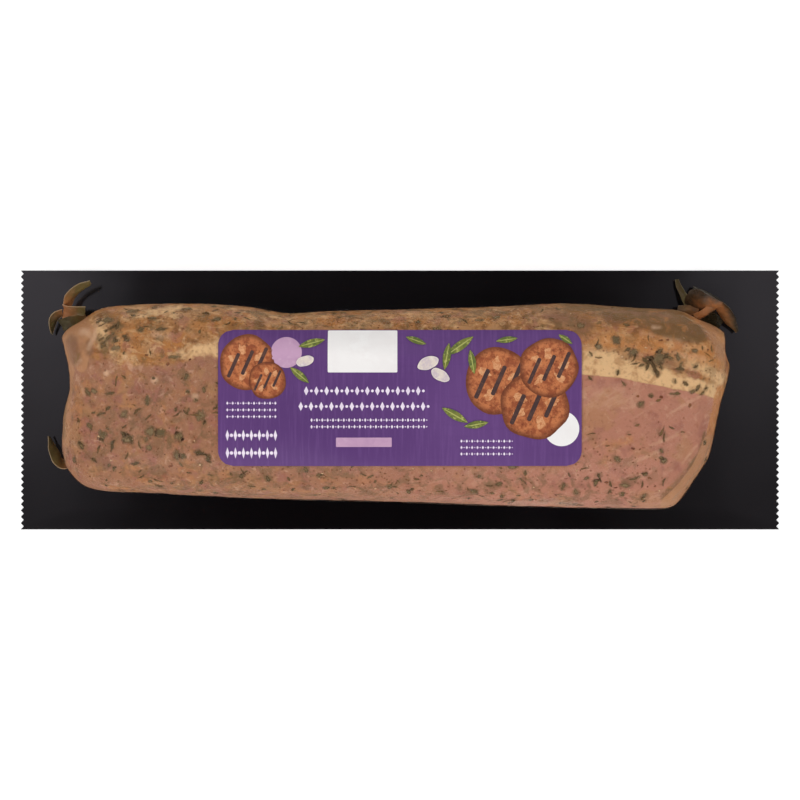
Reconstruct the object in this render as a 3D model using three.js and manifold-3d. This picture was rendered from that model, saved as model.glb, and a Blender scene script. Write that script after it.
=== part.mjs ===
// A vacuum-packed, seasoned pork loin fillet, lying on its back with the label up.
// Three pieces: a flat black backing film with pinked ends, the fillet in clear film drawn tight
// over it (one solid, with the film's pinched corner folds), and a printed label on top.
// Millimetres. X runs along the pack, Y across it towards the fat side, Z up. The origin is at
// the middle of the underside.

import * as THREE from "three";
import { mergeVertices } from "three/addons/utils/BufferGeometryUtils.js";
import Module from "manifold-3d";

const wasm = await Module();
wasm.setup();

// Driving sizes of the backing film
const PACK_LENGTH = 296;
const PACK_WIDTH = 101;
const PACK_MARGIN = 20;
const BACKING_THICKNESS = 0.6;
const TEETH_PER_END = 41;
const TOOTH_DEPTH = 1.15;

// Driving sizes of the fillet in its film
const SEAT_GAP = 0.1;
const FILLET_FOOT = BACKING_THICKNESS + SEAT_GAP;
const FILLET_HEIGHT = 37.2;
const WIDEST_LEVEL = 10;
const FOOT_TUCK = 0.985;
const SIDE_EXPONENT = 4.4;
const CROWN_EXPONENT = 2.1;
const END_DROP = 2.6;
const LENGTHWAYS_SWAY = 0.9;
const SWAY_LENGTH = 31;
const EDGE_RELIEF = 0.35;
const RELIEF_FADES_FROM = 0.55;
const SPINE_START = -94;
const SPINE_END = 86;
const SPINE_Y = -2;
const OUTLINE_STEPS = 156;
const WALL_STEPS = 3;
const CROWN_STEPS = 15;
const CROWN_GRADING = 1.6;
const INNER_SHARE = 0.1;

// Driving sizes of the label
const LABEL_LENGTH = 136;
const LABEL_WIDTH = 51;
const LABEL_CORNER = 5.6;
const LABEL_Y = 0.8;
const LABEL_THICKNESS = 0.4;
const LABEL_GAP = 0.35;
const LABEL_COLUMNS = 34;
const LABEL_ROWS = 14;
const LABEL_ROW_GRADING = 0.45;

// Driving size of the film folds
const FOLD_THICKNESS = 0.9;

// The fillet seen from above, anticlockwise from the left end's fat corner. The left end has a
// hollow waist, the fat side a shallow notch, and the right end is bevelled at its lean corner.
const OUTLINE = [
  [-130.1, 24.5],
  [-129.4, 20.8],
  [-127.8, 13.0],
  [-127.2, 4.8],
  [-129.2, -3.4],
  [-130.0, -12.0],
  [-129.8, -21.2],
  [-127.3, -27.6],
  [-121.5, -33.2],
  [-114.6, -35.2],
  [-98.4, -36.0],
  [-60.0, -37.9],
  [0.0, -39.5],
  [46.3, -41.1],
  [77.0, -41.8],
  [101.5, -41.9],
  [105.2, -41.1],
  [107.6, -38.8],
  [117.3, -24.7],
  [118.8, -21.8],
  [123.4, -1.5],
  [125.9, 7.7],
  [126.8, 13.2],
  [125.4, 18.6],
  [124.7, 26.0],
  [122.0, 28.3],
  [114.9, 31.4],
  [107.6, 34.7],
  [92.4, 35.6],
  [63.6, 37.4],
  [30.9, 36.0],
  [-30.6, 34.4],
  [-43.2, 33.7],
  [-57.6, 36.0],
  [-80.6, 37.4],
  [-110.0, 36.3],
  [-116.6, 35.0],
  [-121.9, 31.4],
  [-128.3, 27.2],
];

// Film folds pinched out of the corners. Each panel lies between two edges, and each edge is a
// curve through a few points, from the fillet's corner outwards.
const FOLD_PANELS = {
  fatLeftWeb: {
    low: [[-116, 28, 5], [-123.5, 31.6, 6], [-130.2, 31.6, 5]],
    high: [[-113, 31, 18], [-121.4, 35.9, 19], [-130.4, 37.0, 17]],
  },
  fatLeftUpperBlade: {
    low: [[-126.2, 34.6, 13], [-123.8, 39.2, 12], [-121.4, 42.2, 12], [-118.7, 44.4, 13]],
    high: [[-129.8, 35.2, 14], [-127.4, 40.9, 20], [-122.9, 44.2, 20], [-118.7, 45.6, 17]],
  },
  fatLeftLowerBlade: {
    low: [[-128.2, 32.3, 6.5], [-131.3, 31.2, 6], [-132.4, 28.2, 5], [-134.4, 25.8, 4]],
    high: [[-128.0, 35.4, 14.5], [-133.4, 33.2, 15], [-135.6, 28.8, 11], [-135.5, 25.4, 6]],
  },
  fatRightMain: {
    low: [[108.6, 31.8, 7], [113.5, 29.4, 9], [119.0, 26.8, 9], [124.6, 26.0, 6], [131.6, 25.3, 4]],
    high: [[111.2, 41.4, 12], [114.6, 43.4, 17], [121.4, 39.9, 22], [127.4, 35.7, 17], [132.3, 26, 6]],
  },
  fatRightFrill: {
    low: [[110.0, 30.0, 4], [108.9, 37.6, 3], [107.2, 42.6, 3], [107.0, 47.0, 2.6]],
    high: [[112.0, 31.0, 12], [111.0, 38.4, 10], [109.4, 42.8, 8], [108.6, 46.6, 5]],
  },
  leanLeftBlade: {
    low: [[-124.0, -23.4, 4], [-129.0, -23.9, 4], [-132.2, -19.0, 4], [-134.3, -14.8, 4]],
    high: [[-124.4, -25.8, 13], [-130.6, -26.6, 14], [-134.2, -21.4, 13], [-135.7, -14.0, 8]],
  },
};
const PANEL_STEPS = 9;
const PANEL_BANDS = 3;

// The fat cap stands a little proud of the lean along a line that slopes down to the right.
const FAT_LINE_Y = 12.5;
const FAT_LINE_SLOPE = -0.055;
const FAT_STEP = 0.7;
const FAT_STEP_WIDTH = 5;

// Waves that give the meat its low lumps: height, and the lengths that set each wave's slant
const LUMPS = [
  { height: 0.35, along: 9.5, across: 8.2 },
  { height: 0.3, along: 7.3, across: -9.1 },
  { height: 0.35, along: 17, across: 6.6 },
  { height: 0.3, along: -23, across: 12 },
];

// Creases where the film is pulled from the corner folds over the ends: from, to, height, width
const CREASES = [
  { from: [-114, 35], to: [-117, 12], height: 0.9, width: 3.2 },
  { from: [-124, -2], to: [-121, 26], height: 0.8, width: 3.6 },
  { from: [101, -41], to: [119, -8], height: 0.9, width: 3.4 },
  { from: [112, 33], to: [121, 14], height: 0.9, width: 3.4 },
];

const clamp = THREE.MathUtils.clamp;
const smoothstep = THREE.MathUtils.smoothstep;

/** The fillet's plan outline as points spaced evenly along it. */
function planOutline(count) {
  const points = OUTLINE.map(([x, y]) => new THREE.Vector3(x, y, 0));
  const curve = new THREE.CatmullRomCurve3(points, true, "centripetal");
  curve.arcLengthDivisions = 2000;
  return curve.getSpacedPoints(count).slice(0, count);
}

const FINE_OUTLINE = planOutline(900);

/** The point of the fillet's spine nearest to x. */
function spinePoint(x) {
  return new THREE.Vector2(clamp(x, SPINE_START, SPINE_END), SPINE_Y);
}

/** How far (x, y) lies from the spine towards the outline: 0 on the spine, 1 on the outline. */
function edgeShare(x, y) {
  const spine = spinePoint(x);
  const dx = x - spine.x;
  const dy = y - spine.y;
  if (Math.hypot(dx, dy) < 1e-9) return 0;
  let share = 1;
  for (let i = 0; i < FINE_OUTLINE.length; i++) {
    const a = FINE_OUTLINE[i];
    const b = FINE_OUTLINE[(i + 1) % FINE_OUTLINE.length];
    const ex = b.x - a.x;
    const ey = b.y - a.y;
    const across = dx * ey - dy * ex;
    if (Math.abs(across) < 1e-12) continue;
    const ax = a.x - spine.x;
    const ay = a.y - spine.y;
    const along = (ax * ey - ay * ex) / across;
    const part = (ax * dy - ay * dx) / across;
    if (along > 0 && part >= 0 && part <= 1) share = 1 / along;
  }
  return share;
}

/** The fillet's thickness varies along its length: thinner towards both ends. */
function crownHeight(x) {
  const fromMiddle = (2 * x) / (PACK_LENGTH - 2 * PACK_MARGIN);
  const sway = LENGTHWAYS_SWAY * Math.sin(x / SWAY_LENGTH);
  return FILLET_HEIGHT - FILLET_FOOT - END_DROP * fromMiddle * fromMiddle - sway;
}

/** Low lumps of the meat under the film: waves that cross at different slants. */
function lumps(x, y) {
  return LUMPS.reduce((sum, { height, along, across }) => {
    return sum + height * Math.sin(x / along + y / across);
  }, 0);
}

/** Distance from (x, y) to the line from a to b. */
function distanceToLine(x, y, a, b) {
  const dx = b[0] - a[0];
  const dy = b[1] - a[1];
  const t = clamp(((x - a[0]) * dx + (y - a[1]) * dy) / (dx * dx + dy * dy), 0, 1);
  return Math.hypot(x - a[0] - t * dx, y - a[1] - t * dy);
}

/** Everything that stands proud of the plain crown: lumps, the fat cap's step and creases. */
function relief(x, y) {
  const fatLine = FAT_LINE_Y + FAT_LINE_SLOPE * x;
  let height = lumps(x, y) + FAT_STEP * smoothstep(y - fatLine, 0, FAT_STEP_WIDTH);
  for (const { from, to, height: rise, width } of CREASES) {
    const away = distanceToLine(x, y, from, to) / width;
    height += rise * Math.exp(-away * away * 2);
  }
  return height;
}

/** Height of the film over (x, y) for a share of the way out to the outline. */
function surfaceHeight(x, y, share) {
  const rise = Math.pow(1 - Math.pow(share, SIDE_EXPONENT), 1 / CROWN_EXPONENT);
  const calm = 1 - smoothstep(share, RELIEF_FADES_FROM, 1);
  const level = FILLET_FOOT + WIDEST_LEVEL;
  const reliefShare = EDGE_RELIEF + (1 - EDGE_RELIEF) * calm;
  return level + (crownHeight(x) - WIDEST_LEVEL + relief(x, y) * reliefShare) * rise;
}

/** A closed geometry from shared vertices and triangles. */
function geometryOf(vertices, triangles) {
  const geometry = new THREE.BufferGeometry();
  const flat = new Float32Array(vertices.flatMap((v) => [v.x, v.y, v.z]));
  geometry.setAttribute("position", new THREE.BufferAttribute(flat, 3));
  geometry.setIndex(triangles);
  return geometry;
}

/** Triangles between two closed rings of equal length, the second one above or inside. */
function stitch(triangles, lower, upper, count) {
  for (let i = 0; i < count; i++) {
    const j = (i + 1) % count;
    triangles.push(lower + i, lower + j, upper + j);
    triangles.push(lower + i, upper + j, upper + i);
  }
}

/** Closes the innermost ring along the spine with triangles that run across it. */
function crownStrip(vertices, start, triangles) {
  const order = Array.from({ length: OUTLINE_STEPS }, (_, i) => i);
  const xOf = (i) => vertices[start + (i % OUTLINE_STEPS)].x;
  const first = order.reduce((best, i) => (xOf(i) < xOf(best) ? i : best), 0);
  const last = order.reduce((best, i) => (xOf(i) > xOf(best) ? i : best), 0);
  let lean = first;
  let fat = first + OUTLINE_STEPS;
  const leanEnd = last > first ? last : last + OUTLINE_STEPS;
  const at = (i) => start + (i % OUTLINE_STEPS);
  while (lean < leanEnd || fat > leanEnd) {
    const stepLean = fat === leanEnd || (lean < leanEnd && xOf(lean + 1) < xOf(fat - 1));
    const next = stepLean ? lean + 1 : fat - 1;
    const corners = [at(lean), at(next), at(fat)];
    if (new Set(corners).size === 3) triangles.push(...corners);
    if (stepLean) lean += 1;
    else fat -= 1;
  }
}

/** The fillet in its film, without the folds: rings from the foot up the wall and over the crown. */
function filletGeometry() {
  const outline = planOutline(OUTLINE_STEPS);
  const vertices = [];
  const triangles = [];
  const addRing = (share, heightAt) => {
    for (const p of outline) {
      const spine = spinePoint(p.x);
      const x = spine.x + (p.x - spine.x) * share;
      const y = spine.y + (p.y - spine.y) * share;
      vertices.push(new THREE.Vector3(x, y, heightAt(x, y)));
    }
  };
  for (let k = 0; k < WALL_STEPS; k++) {
    const up = k / WALL_STEPS;
    const share = 1 - (1 - FOOT_TUCK) * (1 - up) * (1 - up);
    addRing(share, () => FILLET_FOOT + WIDEST_LEVEL * up);
  }
  for (let k = 0; k <= CROWN_STEPS; k++) {
    const share = 1 - (1 - INNER_SHARE) * Math.pow(k / CROWN_STEPS, CROWN_GRADING);
    addRing(share, (x, y) => surfaceHeight(x, y, share));
  }
  const rings = vertices.length / OUTLINE_STEPS;
  for (let k = 0; k + 1 < rings; k++) {
    stitch(triangles, k * OUTLINE_STEPS, (k + 1) * OUTLINE_STEPS, OUTLINE_STEPS);
  }
  const foot = vertices.slice(0, OUTLINE_STEPS).map((v) => new THREE.Vector2(v.x, v.y));
  for (const [a, b, c] of THREE.ShapeUtils.triangulateShape(foot, [])) triangles.push(a, c, b);
  crownStrip(vertices, (rings - 1) * OUTLINE_STEPS, triangles);
  return geometryOf(vertices, triangles);
}

/** A closed slab from two equal grids of points: under is its underside, over its top. */
function slabGeometry(under, over) {
  const rows = under.length;
  const columns = under[0].length;
  const vertices = [...under.flat(), ...over.flat()];
  const top = rows * columns;
  const at = (r, c) => r * columns + c;
  const triangles = [];
  for (let r = 0; r + 1 < rows; r++) {
    for (let c = 0; c + 1 < columns; c++) {
      const [a, b, d, e] = [at(r, c), at(r, c + 1), at(r + 1, c), at(r + 1, c + 1)];
      triangles.push(a, d, e, a, e, b);
      triangles.push(top + a, top + e, top + d, top + a, top + b, top + e);
    }
  }
  const rim = [];
  for (let c = 0; c < columns; c++) rim.push(at(0, c));
  for (let r = 1; r < rows; r++) rim.push(at(r, columns - 1));
  for (let c = columns - 2; c >= 0; c--) rim.push(at(rows - 1, c));
  for (let r = rows - 2; r > 0; r--) rim.push(at(r, 0));
  for (let i = 0; i < rim.length; i++) {
    const a = rim[i];
    const b = rim[(i + 1) % rim.length];
    triangles.push(a, b, top + b, a, top + b, top + a);
  }
  return geometryOf(vertices, triangles);
}

/** A film fold: a sheet between its two edges, thickened evenly to both sides. */
function foldGeometry({ low, high }) {
  const curve = (points) => new THREE.CatmullRomCurve3(points.map((p) => new THREE.Vector3(...p)));
  const lowEdge = curve(low).getPoints(PANEL_STEPS);
  const highEdge = curve(high).getPoints(PANEL_STEPS);
  const middle = lowEdge.map((foot, i) => {
    const row = [];
    for (let k = 0; k <= PANEL_BANDS; k++) {
      row.push(foot.clone().lerp(highEdge[i], k / PANEL_BANDS));
    }
    return row;
  });
  const sheetAt = (offset) =>
    middle.map((row, r) =>
      row.map((p, c) => {
        const along = middle[Math.min(r + 1, PANEL_STEPS)][c].clone();
        along.sub(middle[Math.max(r - 1, 0)][c]);
        const across = row[Math.min(c + 1, PANEL_BANDS)].clone();
        across.sub(row[Math.max(c - 1, 0)]);
        const normal = across.cross(along).normalize();
        return p.clone().addScaledVector(normal, offset);
      }),
    );
  return slabGeometry(sheetAt(-FOLD_THICKNESS / 2), sheetAt(FOLD_THICKNESS / 2));
}

/** A manifold solid of a closed geometry. */
function solidOf(geometry) {
  const merged = mergeVertices(geometry, 1e-4);
  return new wasm.Manifold(
    new wasm.Mesh({
      numProp: 3,
      vertProperties: merged.attributes.position.array,
      triVerts: new Uint32Array(merged.index.array),
    }),
  );
}

/** The fillet and its corner folds as one body of film. */
function filletInFilm() {
  let body = solidOf(filletGeometry());
  for (const panel of Object.values(FOLD_PANELS)) {
    body = body.add(solidOf(foldGeometry(panel)));
  }
  const { vertProperties, triVerts } = body.getMesh();
  const geometry = new THREE.BufferGeometry();
  geometry.setAttribute("position", new THREE.BufferAttribute(vertProperties, 3));
  geometry.setIndex(new THREE.BufferAttribute(triVerts, 1));
  return geometry;
}

/** The label: a rounded rectangle that lies over the crown and follows its curve. */
function labelGeometry() {
  const straight = LABEL_WIDTH / 2 - LABEL_CORNER;
  const sheet = (offset) => {
    const rows = [];
    for (let r = 0; r <= LABEL_ROWS; r++) {
      const graded = -Math.cos((r / LABEL_ROWS) * Math.PI);
      const even = (2 * r) / LABEL_ROWS - 1;
      const y = THREE.MathUtils.lerp(even, graded, LABEL_ROW_GRADING) * (LABEL_WIDTH / 2);
      const past = Math.max(Math.abs(y) - straight, 0);
      const inset = LABEL_CORNER - Math.sqrt(Math.max(LABEL_CORNER * LABEL_CORNER - past * past, 0));
      const row = [];
      for (let c = 0; c <= LABEL_COLUMNS; c++) {
        const x = ((2 * c) / LABEL_COLUMNS - 1) * (LABEL_LENGTH / 2 - inset);
        const share = edgeShare(x, y + LABEL_Y);
        const z = surfaceHeight(x, y + LABEL_Y, share) + offset;
        row.push(new THREE.Vector3(x, y + LABEL_Y, z));
      }
      rows.push(row);
    }
    return rows;
  };
  return slabGeometry(sheet(LABEL_GAP), sheet(LABEL_GAP + LABEL_THICKNESS));
}

/** The backing film: a flat sheet whose two ends are pinked. */
function backingGeometry() {
  const halfLength = PACK_LENGTH / 2;
  const halfWidth = PACK_WIDTH / 2;
  const shape = new THREE.Shape();
  const steps = 2 * TEETH_PER_END;
  const toothX = (i) => halfLength - (i % 2 === 0 ? 0 : TOOTH_DEPTH);
  const toothY = (i) => -halfWidth + (PACK_WIDTH * i) / steps;
  shape.moveTo(toothX(0), toothY(0));
  for (let i = 1; i <= steps; i++) shape.lineTo(toothX(i), toothY(i));
  for (let i = steps; i >= 0; i--) shape.lineTo(-toothX(i), toothY(i));
  shape.closePath();
  return new THREE.ExtrudeGeometry(shape, { depth: BACKING_THICKNESS, bevelEnabled: false });
}

/** A named mesh with its own plain material. */
function piece(name, geometry, color, roughness) {
  const material = new THREE.MeshStandardMaterial({ color, roughness, metalness: 0 });
  const mesh = new THREE.Mesh(geometry, material);
  mesh.name = name;
  return mesh;
}

const pack = new THREE.Group();
pack.add(piece("backing_film", backingGeometry(), 0x141214, 0.25));
pack.add(piece("fillet_in_film", filletInFilm(), 0xab7a64, 0.35));
pack.add(piece("label", labelGeometry(), 0x63417b, 0.5));

export default pack;
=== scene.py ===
"""Looks of a vacuum-packed, seasoned pork loin fillet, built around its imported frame.

Every class holds its sizes in millimetres, in the frame's own axes: X along the pack, Y across it
towards the fat side, Z up. A mesh is turned into metres once, when its corners are set.
"""

import logging
import math
from dataclasses import dataclass
from enum import Enum
from functools import cached_property

import bmesh
import bpy
import numpy as np
from mathutils import Matrix, Vector, kdtree, noise
from mathutils.bvhtree import BVHTree


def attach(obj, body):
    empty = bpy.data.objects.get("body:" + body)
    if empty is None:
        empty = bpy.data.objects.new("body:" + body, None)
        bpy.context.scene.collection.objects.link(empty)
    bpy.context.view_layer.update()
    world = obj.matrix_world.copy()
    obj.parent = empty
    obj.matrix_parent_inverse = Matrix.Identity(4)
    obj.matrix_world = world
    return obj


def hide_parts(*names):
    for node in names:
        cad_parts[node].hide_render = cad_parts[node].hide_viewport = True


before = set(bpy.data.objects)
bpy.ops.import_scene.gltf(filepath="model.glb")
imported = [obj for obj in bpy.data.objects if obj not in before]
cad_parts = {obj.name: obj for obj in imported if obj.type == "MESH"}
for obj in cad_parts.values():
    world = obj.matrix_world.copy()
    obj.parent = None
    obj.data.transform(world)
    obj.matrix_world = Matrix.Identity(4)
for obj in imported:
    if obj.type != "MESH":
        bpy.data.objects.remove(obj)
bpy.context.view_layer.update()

LOG = logging.getLogger("fillet_pack")
MM = 0.001
BODY = "root"
SHARP_ANGLE = math.radians(50)
MERGE_DISTANCE = 1e-7
TINY = 1e-9
SHORT = 1e-6
NOISE_SHIFT = (1.0, 1.7, 2.3)
NOISE_DECAY = 0.9
NOISE_GAP = 2.1

Colour = tuple[float, float, float, float]
Point = tuple[float, float]
Place = tuple[float, float, float]
Step = tuple[float, float, float, float]
Row = tuple[float, ...]
Socket = bpy.types.NodeSocket


def tone(red: float, green: float, blue: float) -> Colour:
    """A colour given as it looks on a screen, from 0 to 255, as the shaders need it.

    Args:
        red: Red as it looks.
        green: Green as it looks.
        blue: Blue as it looks.

    Returns:
        The linear colour with full alpha.
    """

    def linear(value: float) -> float:
        """One channel without its screen curve."""
        part = value / 255
        return part / 12.92 if part <= 0.04045 else ((part + 0.055) / 1.055) ** 2.4

    return linear(red), linear(green), linear(blue), 1.0


def smooth(value: np.ndarray, low: float, high: float) -> np.ndarray:
    """A soft step from 0 at low to 1 at high.

    Args:
        value: The values to judge.
        low: Where the step starts.
        high: Where it ends.

    Returns:
        The step's value for each of them.
    """
    part = np.clip((value - low) / (high - low), 0, 1)
    return part * part * (3 - 2 * part)


def catmull_rom(points: np.ndarray, closed: bool, per_span: int) -> np.ndarray:
    """A smooth curve through points, with the centripetal spacing that keeps tight corners clean.

    Args:
        points: The points, one a row.
        closed: Whether the curve returns to its start.
        per_span: Steps between two points.

    Returns:
        The curve's points, without a repeated end where it is closed.
    """
    if closed:
        before, after = points[-1:], points[:2]
    else:
        before, after = 2 * points[:1] - points[1:2], 2 * points[-1:] - points[-2:-1]
    chain = np.concatenate([before, points, after])
    steps = np.linspace(0, 1, per_span, endpoint=False)[:, None]
    curve = []
    for i in range(len(points) if closed else len(points) - 1):
        p0, p1, p2, p3 = chain[i : i + 4]
        d0, d1, d2 = (max(np.linalg.norm(b - a) ** 0.5, SHORT) for a, b in ((p0, p1), (p1, p2), (p2, p3)))
        t1 = ((p1 - p0) / d0 - (p2 - p0) / (d0 + d1) + (p2 - p1) / d1) * d1
        t2 = ((p2 - p1) / d1 - (p3 - p1) / (d1 + d2) + (p3 - p2) / d2) * d1
        cubic = 2 * p1 - 2 * p2 + t1 + t2
        square = -3 * p1 + 3 * p2 - 2 * t1 - t2
        curve.append(p1 + t1 * steps + square * steps**2 + cubic * steps**3)
    if not closed:
        curve.append(points[-1:])
    return np.concatenate(curve)


def noise_at(places: np.ndarray, size: float, octaves: int = 3, seed: float = 0.0) -> np.ndarray:
    """Fractal noise at places, about -1 to 1.

    Args:
        places: Points in millimetres, one a row.
        size: The width of the largest lumps.
        octaves: How many finer layers are added.
        seed: Moves the pattern.

    Returns:
        One value for each place.
    """
    shift = Vector([seed * part for part in NOISE_SHIFT])
    spots = (Vector(place) + shift for place in places / size)
    return np.array([noise.fractal(spot, NOISE_DECAY, NOISE_GAP, octaves) for spot in spots])


class Nodes:
    """A node tree while it is put together."""

    def __init__(self, tree: bpy.types.NodeTree) -> None:
        """Starts with the tree emptied."""
        self.tree = tree
        self.tree.nodes.clear()

    def node(self, kind: str, inputs: dict | None = None, **settings) -> bpy.types.Node:
        """Adds a node.

        Args:
            kind: The node's type.
            inputs: Socket name or number to a value, or to the socket that feeds it.
            **settings: The node's own options.

        Returns:
            The node.
        """
        made = self.tree.nodes.new(kind)
        for key, value in settings.items():
            setattr(made, key, value)
        for key, value in (inputs or {}).items():
            if isinstance(value, Socket):
                self.tree.links.new(value, made.inputs[key])
            else:
                made.inputs[key].default_value = value
        return made

    def span(self, value: Socket, low: float, high: float, out_low: float = 0.0,
             out_high: float = 1.0) -> Socket:
        """A soft step of a value.

        Args:
            value: The value.
            low: Where the step starts.
            high: Where it ends.
            out_low: The result up to low.
            out_high: The result from high on.

        Returns:
            The stepped value.
        """
        inputs = {"Value": value, "From Min": low, "From Max": high, "To Min": out_low, "To Max": out_high}
        return self.node("ShaderNodeMapRange", inputs, interpolation_type="SMOOTHSTEP").outputs[0]

    def sums(self, operation: str, first: Socket | float, second: Socket | float = 0.0) -> Socket:
        """The result of one operation of arithmetic."""
        return self.node("ShaderNodeMath", {0: first, 1: second}, operation=operation).outputs[0]


class Recipe(Nodes):
    """A node material while it is put together."""

    def __init__(self, name: str) -> None:
        """Starts an empty material.

        Args:
            name: Its name.
        """
        self.material = bpy.data.materials.new(name)
        self.material.use_nodes = True
        super().__init__(self.material.node_tree)
        self.coords = self.node("ShaderNodeTexCoord").outputs["Object"]

    def attribute(self, name: str) -> Socket:
        """The value of a mesh attribute."""
        return self.node("ShaderNodeAttribute", attribute_name=name).outputs["Fac"]

    def stretched(self, scale: Place, turn: float = 0.0) -> Socket:
        """Object coordinates turned about Z and stretched.

        Args:
            scale: The factor along each axis after the turn.
            turn: The turn in degrees.

        Returns:
            The coordinates.
        """
        turned = self.node(
            "ShaderNodeMapping", {"Vector": self.coords, "Rotation": (0, 0, math.radians(turn))}
        )
        return self.node("ShaderNodeMapping", {"Vector": turned.outputs[0], "Scale": scale}).outputs[0]

    def noise(self, size: float, seed: float = 0.0, detail: float = 3.0, rough: float = 0.55,
              where: Socket | None = None, warp: float = 0.0) -> Socket:
        """Noise with lumps of a size in millimetres.

        Args:
            size: The width of the largest lumps.
            seed: Picks another pattern.
            detail: How many finer layers there are.
            rough: How strong they are.
            where: The coordinates, or nothing for the object's own.
            warp: How much the pattern is twisted.

        Returns:
            The value, about 0.5 on average.
        """
        inputs = {"Vector": where or self.coords, "W": seed, "Scale": 1 / (size * MM), "Detail": detail,
                  "Roughness": rough, "Distortion": warp}
        return self.node("ShaderNodeTexNoise", inputs, noise_dimensions="4D").outputs[0]

    def dots(self, spacing: float, radius: float) -> Socket:
        """Scattered soft dots.

        Args:
            spacing: The distance between the points that they lie round, in millimetres.
            radius: The radius of the largest, in millimetres.

        Returns:
            1 in the middle of a dot and 0 outside it.
        """
        inputs = {"Vector": self.coords, "Scale": 1 / (spacing * MM), "Randomness": 1.0}
        away = self.node("ShaderNodeTexVoronoi", inputs).outputs["Distance"]
        reach = radius / spacing
        return self.span(away, reach * 0.7, reach * 1.15, 1.0, 0.0)

    def ragged(self, mark: str, edge: Socket, amount: float) -> Socket:
        """A mesh attribute with an edge roughened by a pattern.

        Args:
            mark: The attribute's name.
            edge: The pattern, about 0.5 on average.
            amount: How far it moves the edge.

        Returns:
            The roughened value.
        """
        wobble = self.sums("MULTIPLY", self.sums("SUBTRACT", edge, 0.5), amount)
        return self.sums("ADD", self.attribute(mark), wobble)

    def blend(self, share: Socket | float, first: Socket | Colour, second: Socket | Colour) -> Socket:
        """A mix of two colours by the second one's share."""
        inputs = {0: share, 6: first, 7: second}
        return self.node("ShaderNodeMix", inputs, data_type="RGBA").outputs[2]

    def bump(self, height: Socket, depth: float, strength: float = 1.0) -> Socket:
        """A bumped normal.

        Args:
            height: The height from 0 to 1.
            depth: The real depth of that, in millimetres.
            strength: How much of it is used.

        Returns:
            The normal.
        """
        inputs = {"Height": height, "Distance": depth * MM, "Strength": strength}
        return self.node("ShaderNodeBump", inputs).outputs[0]

    def principled(self, inputs: dict) -> Socket:
        """A Principled shader with these inputs."""
        return self.node("ShaderNodeBsdfPrincipled", inputs).outputs[0]

    def see_through(self, colour: Colour) -> Socket:
        """A shader that shows what is behind, tinted."""
        return self.node("ShaderNodeBsdfTransparent", {"Color": colour}).outputs[0]

    def mixed(self, share: Socket | float, first: Socket, second: Socket) -> Socket:
        """A mix of two shaders by the second one's share."""
        return self.node("ShaderNodeMixShader", {0: share, 1: first, 2: second}).outputs[0]

    def done(self, surface: Socket) -> bpy.types.Material:
        """Ends the material with its surface."""
        self.node("ShaderNodeOutputMaterial", {"Surface": surface})
        return self.material


@dataclass(frozen=True)
class Stroke:
    """A soft-edged band along a path on the fillet, seen from above."""

    path: tuple[Point, ...]
    half_width: float
    strength: float = 1.0
    softness: float = 0.5

    def away(self, x: np.ndarray, y: np.ndarray) -> np.ndarray:
        """How far points are from the path.

        Args:
            x: Their places along the pack.
            y: Their places across it.

        Returns:
            The distance of each from the nearest point of the path.
        """
        nearest = np.full(np.shape(x), np.inf)
        for (ax, ay), (bx, by) in zip(self.path, self.path[1:] or self.path):
            dx, dy = bx - ax, by - ay
            part = np.clip(((x - ax) * dx + (y - ay) * dy) / max(dx * dx + dy * dy, TINY), 0, 1)
            nearest = np.minimum(nearest, np.hypot(x - ax - part * dx, y - ay - part * dy))
        return nearest

    def cover(self, x: np.ndarray, y: np.ndarray) -> np.ndarray:
        """How much the band covers each point, from 0 to its strength."""
        fade = self.half_width * self.softness
        return self.strength * (1 - smooth(self.away(x, y), self.half_width - fade, self.half_width + fade))

    def ridge(self, x: np.ndarray, y: np.ndarray) -> np.ndarray:
        """How far a rounded ridge along the path stands up at each point."""
        away = self.away(x, y) / self.half_width
        return self.strength * np.exp(-2 * away * away)


Strokes = tuple[Stroke, ...]


def strokes(*rows: tuple) -> Strokes:
    """Makes strokes from rows of path, half width, strength and softness."""
    return tuple(Stroke(*row) for row in rows)


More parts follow.
